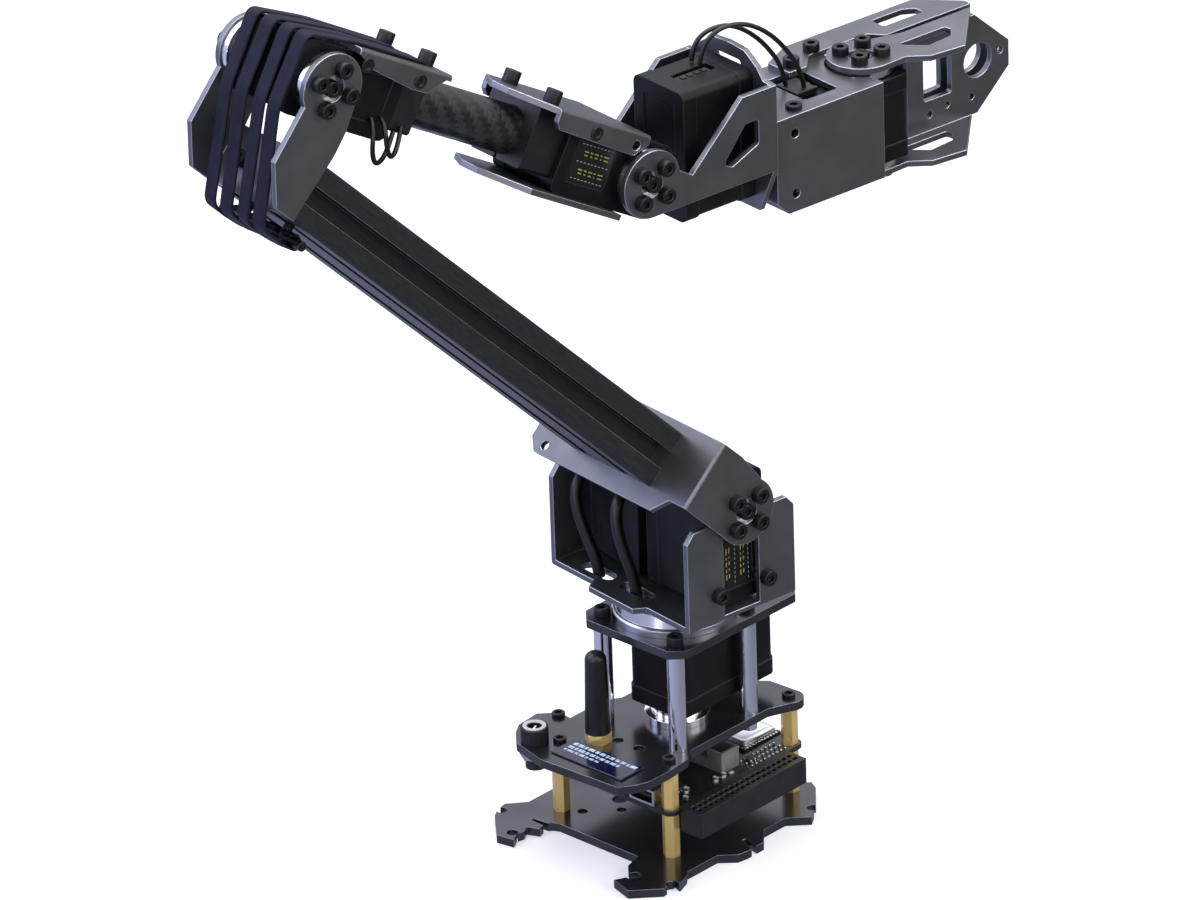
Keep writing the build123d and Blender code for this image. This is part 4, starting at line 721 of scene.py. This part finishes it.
def radio():
    """The radio module: a tinned can with pressed corners on its own small board with edge pads."""
    low, high = [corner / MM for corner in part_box("radio_module")]
    middle = (low + high) / 2
    half = (high.x - low.x) / 2
    board = bmesh.new()
    pads = bmesh.new()
    place = move(middle.x, middle.y, low.z)
    add_block(board, place, (-half, half), (-half, half), (0, 0.8), 0.08)
    for side in range(4):
        edge = place @ turn(90 * side, "Z")
        for i in range(11):
            x = -half + 1.75 + 1.4 * i
            add_block(pads, edge, (x - 0.4, x + 0.4), (-half + 0.02, -half + 0.8), (0.7, 0.86), 0.03)
    body = piece("radio_board", board, MASK, "base")
    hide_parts("radio_module")
    piece("radio_pads", pads, TIN, "base", False)
    can = bmesh.new()
    wall = half - 1.15

    def square(reach, height, round_r):
        points = []
        for corner in range(4):
            for step in range(6):
                angle = math.radians(90 * corner + 18 * step)
                cx = (reach - round_r) * (1 if corner in (0, 3) else -1)
                cy = (reach - round_r) * (1 if corner in (0, 1) else -1)
                points.append((cx + round_r * math.cos(angle), cy + round_r * math.sin(angle), height))
        return points
    top = high.z - low.z
    add_rings(can, place, [
        square(wall, 0.8, 1.0), square(wall, top - 0.35, 1.0), square(wall - 0.1, top - 0.1, 0.9),
        square(wall - 0.35, top, 0.7), square(wall - 2.2, top, 0.5), square(wall - 2.4, top - 0.12, 0.5),
    ])
    piece("radio_can", can, TIN, "base")


radio()


def display():
    """The lit panel: a dark glass with broken edges, plain lit bars, and its card below the deck."""
    low, high = [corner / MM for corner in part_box("display_panel")]
    deck_low, deck_high = [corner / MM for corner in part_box("upper_deck")]
    place = Matrix()
    glass = bmesh.new()
    add_block(glass, place, (low.x, high.x), (low.y, high.y), (deck_high.z, high.z), 0.15)
    obj = piece("display_glass", glass, GLASS, "base")
    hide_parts("display_panel")
    bars = bmesh.new()
    widths = (1.6, 2.2, 0.9, 2.6, 1.4, 2.0, 1.1, 1.8)
    for row, (down, tall, share) in enumerate(((1.3, 1.6, 1.0), (3.9, 1.5, 0.85), (6.3, 1.1, 0.6))):
        x = high.x - down
        y = high.y - 2.2
        count = row
        while y > high.y - 2.2 - share * (high.y - low.y - 5.0):
            width = widths[count % len(widths)]
            add_block(bars, place, (x - tall, x), (y - width, y), (high.z - 0.01, high.z), 0.002)
            y -= width + 0.6
            count += 1
    piece("display_bars", bars, GLOW, "base", False)
    card = bmesh.new()
    add_block(card, place, (low.x, high.x), (low.y, high.y), (low.z + 0.9, deck_low.z), 0.1)
    piece("display_card", card, MASK, "base")
    chips = bmesh.new()
    for i, (y, long) in enumerate(((low.y + 2, 4.0), (low.y + 8, 2.6), (low.y + 13, 5.0), (low.y + 21, 3.0),
                                   (low.y + 26, 3.4))):
        x = low.x + 0.5 + 0.7 * (i % 2)
        add_block(chips, place, (x, x + 1.9), (y, y + long), (low.z, low.z + 0.95), 0.1)
    piece("display_card_parts", chips, PLATED, "base")


display()


def jack():
    """The power jack: a knurled black ring with a white insulator and a pin in its bore, and its nut."""
    low, high = [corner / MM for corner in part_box("power_jack")]
    deck_low, deck_high = [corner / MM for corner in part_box("upper_deck")]
    centre = (low + high) / 2
    radius = 4.6
    place = move(centre.x, centre.y, 0)
    count = 72
    ring = bmesh.new()
    base, top = deck_high.z, high.z
    add_rings(ring, place, [
        circle(radius - 1.25, low.z, count), circle(radius - 1.25, base, count),
        circle(radius - 0.2, base, count),
        knurled(radius, 0.22, base + 0.35, count), knurled(radius, 0.22, top - 0.6, count),
        circle(radius - 0.25, top - 0.4, count), circle(radius - 0.5, top - 0.2, count),
        circle(radius - 0.7, top - 0.5, count), circle(2.7, top - 0.6, count), circle(2.6, base + 1.2, count),
    ])
    obj = piece("jack_ring", ring, NYLON, "base")
    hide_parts("power_jack")
    face = bmesh.new()
    foot = circle(radius - 0.75, top - 0.6, 48)
    add_rings(face, place, [
        foot, circle(radius - 0.75, top - 0.12, 48), circle(radius - 0.95, top, 48), circle(2.75, top, 48),
        circle(2.5, top - 0.3, 48), circle(2.5, top - 0.6, 48), foot,
    ], False, False)
    bmesh.ops.remove_doubles(face, verts=face.verts, dist=0.001 * MM)
    piece("jack_insulator", face, WHITE_ABS, "base")
    pin = bmesh.new()
    add_rings(pin, place, [
        circle(0.62, base + 1.2, 24), circle(0.62, top - 1.3, 24), circle(0.2, top - 0.9, 24),
    ])
    for i in range(3):
        spoke = place @ turn(120 * i + 30, "Z")
        add_block(pin, spoke, (1.2, 2.45), (-0.35, 0.35), (top - 1.6, top - 1.2), 0.08)
    piece("jack_pin", pin, CHROME, "base")
    nut = bmesh.new()
    add_rings(nut, place, [
        hexagon(9.2, deck_low.z - 2.0, 48), hexagon(9.2, deck_low.z - 0.05, 48),
    ])
    piece("jack_nut", nut, PLATED, "base", False)


jack()


def board_parts():
    """Small parts on the driver board: chips, capacitors with tinned ends, and rows of solder pins."""
    low, high = [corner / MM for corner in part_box("driver_board")]
    top = high.z
    chips = bmesh.new()
    ends = bmesh.new()
    bodies = bmesh.new()
    pins = bmesh.new()
    place = Matrix()
    for x, y, long, wide, tall in (
        (-8.0, 4.0, 7.0, 7.0, 1.0), (-14.0, -12.0, 5.0, 4.0, 0.9), (16.5, 12.0, 6.0, 6.0, 1.0),
        (27.0, 16.0, 5.0, 4.0, 1.2), (16.0, -17.4, 4.0, 3.0, 0.9), (2.0, 20.0, 8.0, 5.0, 1.4),
    ):
        add_block(chips, place, (x - long / 2, x + long / 2), (y - wide / 2, y + wide / 2), (top, top + tall))
        for side in (-1, 1):
            for i in range(int(long / 1.27)):
                px = x - long / 2 + 0.7 + 1.27 * i
                py = y + side * (wide / 2 + 0.35)
                add_block(ends, place, (px - 0.2, px + 0.2), (py - 0.4, py + 0.4), (top, top + 0.3), 0.05)
    small = [(-24.0 + 2.3 * i, -18.6 + 1.9 * (i % 3)) for i in range(6)]
    small += [(-3.0 + 1.9 * i, -19.0 + 1.7 * (i % 2)) for i in range(5)]
    small += [(12.6 + 1.9 * (i % 3), -3.0 + 2.1 * (i // 3)) for i in range(9)]
    for i, (x, y) in enumerate(small):
        spot = move(x, y, 0) @ turn(90 * (i % 2), "Z")
        add_block(bodies, spot, (-0.45, 0.45), (-0.5, 0.5), (top, top + 0.6), 0.06)
        for side in (-1, 1):
            x = side * 0.7
            add_block(ends, spot, (x - 0.28, x + 0.28), (-0.52, 0.52), (top, top + 0.62), 0.06)
    for row in (-21.4, -18.9, -16.4):
        for i in range(9):
            x = 12.2 + 2.0 * i
            if x < high.x - 4.5:
                add_block(pins, place, (x - 0.35, x + 0.35), (row - 0.35, row + 0.35), (top, top + 0.9), 0.12)
    piece("board_chips", chips, PARTS, "base")
    piece("board_part_ends", ends, TIN, "base")
    piece("board_part_bodies", bodies, WHITE_ABS, "base")
    piece("board_solder_pins", pins, TIN, "base")
    plug = bmesh.new()
    box_low, box_high = [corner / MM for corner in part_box("bus_connector")]
    x = (box_low.x + box_high.x) / 2
    for i in range(4):
        y = (box_low.y + box_high.y) / 2 + 3.2 * (i - 1.5)
        add_block(plug, place, (x - 0.4, x + 0.4), (y - 0.4, y + 0.4), (box_low.z + 2, box_high.z - 2), 0.1)
    piece("bus_connector_pins", plug, GOLD, "base")
    tongues = bmesh.new()
    port_low, port_high = [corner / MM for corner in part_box("usb_ports")]
    for i in (-1, 0, 1):
        y = (port_low.y + port_high.y) / 2 + 15.0 * i
        add_block(tongues, place, (port_low.x + 1, port_high.x - 2), (y - 3.4, y + 3.4),
                  ((port_low.z + port_high.z) / 2 - 0.6, (port_low.z + port_high.z) / 2 + 0.6), 0.1)
    piece("usb_tongues", tongues, NYLON, "base")


board_parts()


# Leads: smooth lines through the routes of the frame's own leads

def lead(name, link, points, diameter, material, body):
    """One lead as a NURBS line with a round section, from the object and back into it."""
    data = bpy.data.curves.new(name, "CURVE")
    data.dimensions = "3D"
    data.bevel_depth = diameter / 2
    data.bevel_resolution = 5
    data.resolution_u = 10
    data.use_fill_caps = True
    spline = data.splines.new("NURBS")
    spline.points.add(len(points) - 1)
    for knot, point in zip(spline.points, points):
        knot.co = (*at(link, point), 1.0)
    spline.order_u = 3
    spline.use_endpoint_u = True
    obj = bpy.data.objects.new(name, data)
    bpy.context.scene.collection.objects.link(obj)
    data.materials.append(material)
    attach(obj, body)
    return obj


SLEEVE_ROUTES = {
    "near_shoulder_sleeve": [(-13.2, 7.0, 121.6), (-17.6, 6.4, 119.6), (-19.4, 4.6, 111.4),
                             (-18.8, 1.2, 102.0), (-17.4, -1.6, 94.2), (-17.0, -2.0, 88.3)],
    "far_shoulder_sleeve": [(-13.2, 27.0, 121.6), (-17.6, 27.2, 119.4), (-19.2, 25.2, 111.0),
                            (-18.4, 21.0, 101.0), (-17.3, 17.4, 93.8), (-17.0, 17.0, 88.3)],
}
FOREARM_ROUTES = {
    "outer_elbow_lead": [(30.0, -14.9, -5.0), (30.4, -17.6, -7.0), (33.0, -18.8, -12.8), (37.6, -17.4, -16.2),
                         (41.4, -14.8, -13.0), (41.0, -13.1, -6.0)],
    "inner_elbow_lead": [(26.0, -14.9, -6.0), (26.4, -17.6, -9.0), (28.6, -18.4, -16.2), (33.4, -16.8, -19.6),
                         (38.0, -14.6, -15.6), (38.6, -13.1, -8.2)],
}
GRIPPER_ROUTES = {
    "far_gripper_lead": [(40.0, 6.0, 21.5), (40.6, 6.2, 26.2), (45.6, 5.6, 30.4), (54.0, 4.4, 30.6),
                         (62.0, 3.4, 25.8), (69.0, 2.6, 18.4), (74.6, 2.2, 9.4), (76.0, 2.0, 1.0)],
    "near_gripper_lead": [(40.0, 2.0, 21.5), (40.8, 1.8, 27.4), (46.8, 0.8, 32.4), (56.4, -0.6, 32.0),
                          (65.6, -1.8, 26.2), (73.0, -2.4, 17.6), (78.2, -2.8, 8.6), (79.4, -3.0, 1.0)],
}
SLEEVE_THICK = 4.0 * MM
LEAD_THICK = 1.6 * MM

sleeves = [
    lead(name, TURRET, route, SLEEVE_THICK, INSULATION, "turret")
    for name, route in SLEEVE_ROUTES.items()
]
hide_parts("shoulder_leads")
elbow_leads = [
    lead(name, FOREARM, route, LEAD_THICK, INSULATION, "forearm")
    for name, route in FOREARM_ROUTES.items()
]
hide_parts("forearm_leads")


def gripper_lead(name, route):
    """A lead that crosses the roll joint: a tube along the same smooth line, bent between the two."""
    curve = lead(name + "_line", HAND, route, LEAD_THICK, INSULATION, "wrist")
    bpy.context.view_layer.update()
    curve.data.bevel_depth = 0.0
    line = bpy.data.meshes.new_from_object(curve.evaluated_get(bpy.context.evaluated_depsgraph_get()))
    curve.data.bevel_depth = LEAD_THICK / 2
    bpy.context.view_layer.update()
    mesh = bpy.data.meshes.new_from_object(curve.evaluated_get(bpy.context.evaluated_depsgraph_get()))
    mesh.transform(curve.matrix_world)
    bpy.data.objects.remove(curve)
    obj = bpy.data.objects.new(name, mesh)
    bpy.context.scene.collection.objects.link(obj)
    mesh.materials.clear()
    mesh.materials.append(INSULATION)
    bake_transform(obj)
    return obj


gripper_leads = [gripper_lead(name, route) for name, route in GRIPPER_ROUTES.items()]
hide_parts("gripper_leads")


PLUG_X = (73.6, 82.0)
PLUG_Y = (-5.6, 4.6)
PLUG_Z = (0.85, 3.3)
LATCH_LONG = 1.2
LATCHES_Y = (-4.2, -0.5, 3.2)


def gripper_plug():
    """The black plug in the gripper's roof window, where both leads end, with its three latches."""
    bm = bmesh.new()
    add_block(bm, HAND, PLUG_X, PLUG_Y, PLUG_Z, 0.25)
    for y in LATCHES_Y:
        add_block(bm, HAND, (PLUG_X[1], PLUG_X[1] + LATCH_LONG), (y - LATCH_LONG / 2, y + LATCH_LONG / 2),
                  (PLUG_Z[0] + 0.3, PLUG_Z[1] - 0.6), 0.12)
    piece("gripper_lead_plug", bm, NYLON, "gripper")


gripper_plug()


# The rubber bands

BAND_WIDE = 5.8
BAND_THICK = 1.0
BAND_BEND = 3.0
ELBOW_IN_ARM = (30.0, 236.82)


def fore_to_arm(x, z):
    """A place on the forearm's side view, in the arm's X and Z at rest."""
    angle = math.radians(FOREARM_DIP - ARM_LEAN)
    return (
        ELBOW_IN_ARM[0] + x * math.cos(angle) + z * math.sin(angle),
        ELBOW_IN_ARM[1] - x * math.sin(angle) + z * math.cos(angle),
    )


def rounded_line(points, bend):
    """A line through straight runs, with each corner rounded over the length of bend."""
    points = [Vector(p) for p in points]
    line = [points[0]]
    for before, corner, after in zip(points, points[1:], points[2:]):
        reach_in = min(bend, (before - corner).length * 0.48)
        reach_out = min(bend, (after - corner).length * 0.48)
        start = corner + (before - corner).normalized() * reach_in
        end = corner + (after - corner).normalized() * reach_out
        for step in range(7):
            t = step / 6
            line.append(start * (1 - t) ** 2 + corner * 2 * t * (1 - t) + end * t ** 2)
    line.append(points[-1])
    return line


def add_band(bm, route, lean):
    """A flat band along a route in mm, with rounded edges. It leans most half-way along."""
    line = rounded_line(route, BAND_BEND)
    half_w, half_t = BAND_WIDE / 2, BAND_THICK / 2
    section = [
        (half_w - 0.35, half_t), (-half_w + 0.35, half_t), (-half_w, 0.15), (-half_w, -0.15),
        (-half_w + 0.35, -half_t), (half_w - 0.35, -half_t), (half_w, -0.15), (half_w, 0.15),
    ]
    rings = []
    for i, centre in enumerate(line):
        tangent = (line[min(i + 1, len(line) - 1)] - line[max(i - 1, 0)]).normalized()
        across = Vector((0, 1, 0))
        across = (across - tangent * across.dot(tangent)).normalized()
        out = tangent.cross(across)
        tilt = math.radians(lean) * math.sin(math.pi * i / (len(line) - 1))
        wide = across * math.cos(tilt) + out * math.sin(tilt)
        thick = out * math.cos(tilt) - across * math.sin(tilt)
        rings.append([tuple(centre + wide * w + thick * t) for w, t in section])
    add_rings(bm, ARM, rings)


def rubber_bands():
    """Four bands, looped round the bar behind the arm, up over the elbow servo to the tall screws."""
    bar_x, bar_z = -14.4, 210.8
    back_x = -16.9
    heel = fore_to_arm(-12.0, -11.0)
    crown = fore_to_arm(-12.0, 13.2)
    cap = fore_to_arm(9.8, 15.0)
    end = fore_to_arm(40.5, 14.9)
    bm = bmesh.new()
    for y, end_y, lean in ((-13.2, -11.0, 4.0), (-5.4, -6.6, -3.0), (3.0, 4.8, 3.0), (11.2, 10.2, -4.0)):
        add_band(bm, [
            (bar_x + 1.2, y + 0.4, bar_z + 2.2), (bar_x + 2.6, y + 0.3, bar_z), (bar_x + 1.2, y, bar_z - 2.9),
            (bar_x - 1.6, y - 0.3, bar_z - 2.7), (back_x, y, bar_z + 1.0), (back_x, y, 224.6),
            (heel[0], y + lean * 0.12, heel[1]), (crown[0], y, crown[1]),
            (cap[0], y + (end_y - y) * 0.35, cap[1]), (end[0], end_y, end[1]),
        ], lean)
    obj = piece("stretched_bands", bm, BAND, None)
    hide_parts("rubber_bands")
    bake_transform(obj)


rubber_bands()


# The floor, the light and what the metal sees

NEAR_FLOOR = linear("#6e6e70")
FAR_FLOOR = linear("#b3bbe2")


def pale_floor():
    """A seamless pale floor. The camera and mirrors see it as near white, with the object's shadow."""
    bm = bmesh.new()
    side = 6.0
    corners = [bm.verts.new((sx * side, sy * side, 0.0)) for sx, sy in ((-1, -1), (1, -1), (1, 1), (-1, 1))]
    bm.faces.new(corners)
    mesh = bpy.data.meshes.new("floor")
    bm.to_mesh(mesh)
    bm.free()
    floor = bpy.data.objects.new("floor", mesh)
    bpy.context.scene.collection.objects.link(floor)
    material = bpy.data.materials.new("matt white paper")
    material.use_nodes = True
    tree = material.node_tree
    tree.nodes.clear()
    path = add(tree, "LightPath")
    seen = add(
        tree, "Math", {0: path.outputs["Is Camera Ray"], 1: path.outputs["Is Glossy Ray"]}, operation="MAXIMUM"
    )
    seen = add(
        tree, "Math", {0: seen.outputs["Value"], 1: path.outputs["Is Transmission Ray"]}, operation="MAXIMUM"
    )
    paper = add(tree, "BsdfDiffuse", {"Color": linear("#f4f6fb")})
    strength = add(tree, "Math", {0: seen.outputs["Value"], 1: 0.42}, operation="MULTIPLY")
    glow = add(tree, "Emission", {"Color": linear("#fbfcff"), "Strength": strength.outputs["Value"]})
    both = add(tree, "AddShader", {0: paper.outputs["BSDF"], 1: glow.outputs["Emission"]})
    place = add(tree, "SeparateXYZ", {"Vector": add(tree, "TexCoord").outputs["Object"]})
    back = add(tree, "Math", {0: place.outputs["Y"], 1: place.outputs["X"]}, operation="SUBTRACT")
    side = add(tree, "MapRange", {"Value": back.outputs["Value"], "From Min": -0.5, "From Max": 0.6})
    mirrored = add(tree, "ValToRGB", {"Fac": side.outputs["Result"]},
                   stops=((0.15, NEAR_FLOOR), (0.85, FAR_FLOOR)))
    reflected = add(tree, "Emission", {"Color": mirrored.outputs["Color"]})
    choice = add(
        tree, "MixShader",
        {"Fac": path.outputs["Is Glossy Ray"], 1: both.outputs["Shader"], 2: reflected.outputs["Emission"]},
    )
    add(tree, "OutputMaterial", {"Surface": choice.outputs["Shader"]})
    mesh.materials.append(material)


pale_floor()


def softbox(name, place, aim, size, power, colour="#ffffff"):
    """A square soft light in metres and watts that looks at a point."""
    data = bpy.data.lights.new(name, "AREA")
    data.size = size
    data.energy = power
    data.color = linear(colour)[:3]
    light = bpy.data.objects.new(name, data)
    bpy.context.scene.collection.objects.link(light)
    light.location = place
    light.rotation_euler = (Vector(aim) - Vector(place)).to_track_quat("-Z", "Y").to_euler()


MIDDLE = (0.0, 0.0, 0.18)
softbox("overhead", (0.2, 0.3, 1.9), MIDDLE, 1.4, 14.0)
softbox("near_side", (0.5, -1.5, 0.9), MIDDLE, 1.0, 8.0)
softbox("sky_side", (-1.3, 1.2, 1.1), MIDDLE, 0.9, 9.0, "#b9c4ff")
softbox("left_strip", (-1.7, -0.35, 0.5), MIDDLE, 0.3, 3.0)
softbox("front_strip", (-0.2, -1.9, 0.5), MIDDLE, 0.22, 2.5)


def surroundings():
    """Plain white where the camera and mirrors look, and a gentle even light elsewhere."""
    world = bpy.data.worlds.new("studio")
    bpy.context.scene.world = world
    world.use_nodes = True
    tree = world.node_tree
    tree.nodes.clear()
    path = add(tree, "LightPath")
    seen = add(
        tree, "Math", {0: path.outputs["Is Camera Ray"], 1: path.outputs["Is Glossy Ray"]}, operation="MAXIMUM"
    )
    seen = add(
        tree, "Math", {0: seen.outputs["Value"], 1: path.outputs["Is Transmission Ray"]}, operation="MAXIMUM"
    )
    strength = add(tree, "MapRange", {"Value": seen.outputs["Value"], "To Min": 0.5, "To Max": 1.0})
    sky = add(tree, "Background", {"Color": linear("#ffffff"), "Strength": strength.outputs["Result"]})
    way = add(tree, "SeparateXYZ", {"Vector": add(tree, "TexCoord").outputs["Generated"]})
    back = add(tree, "Math", {0: way.outputs["Y"], 1: way.outputs["X"]}, operation="SUBTRACT")
    side = add(tree, "MapRange", {"Value": back.outputs["Value"], "From Min": -1.2, "From Max": 1.2})
    wall = add(tree, "ValToRGB", {"Fac": side.outputs["Result"]},
               stops=((0.2, linear("#a4a4a6")), (0.8, linear("#ccd1ee"))))
    height = add(tree, "MapRange", {"Value": way.outputs["Z"], "From Min": 0.15, "From Max": 0.75})
    room = add(
        tree, "Mix", {"Factor": height.outputs["Result"], 6: wall.outputs["Color"], 7: linear("#f4f5fa")},
        data_type="RGBA",
    )
    shine = add(tree, "MapRange", {"Value": height.outputs["Result"], "To Min": 0.95, "To Max": 2.3})
    mirrored = add(tree, "Background", {"Color": room.outputs[2], "Strength": shine.outputs["Result"]})
    glossy = path.outputs["Is Glossy Ray"]
    choice = add(
        tree, "MixShader", {"Fac": glossy, 1: sky.outputs["Background"], 2: mirrored.outputs["Background"]}
    )
    add(tree, "OutputWorld", {"Surface": choice.outputs["Shader"]})


surroundings()
bpy.context.scene.view_settings.view_transform = "Standard"
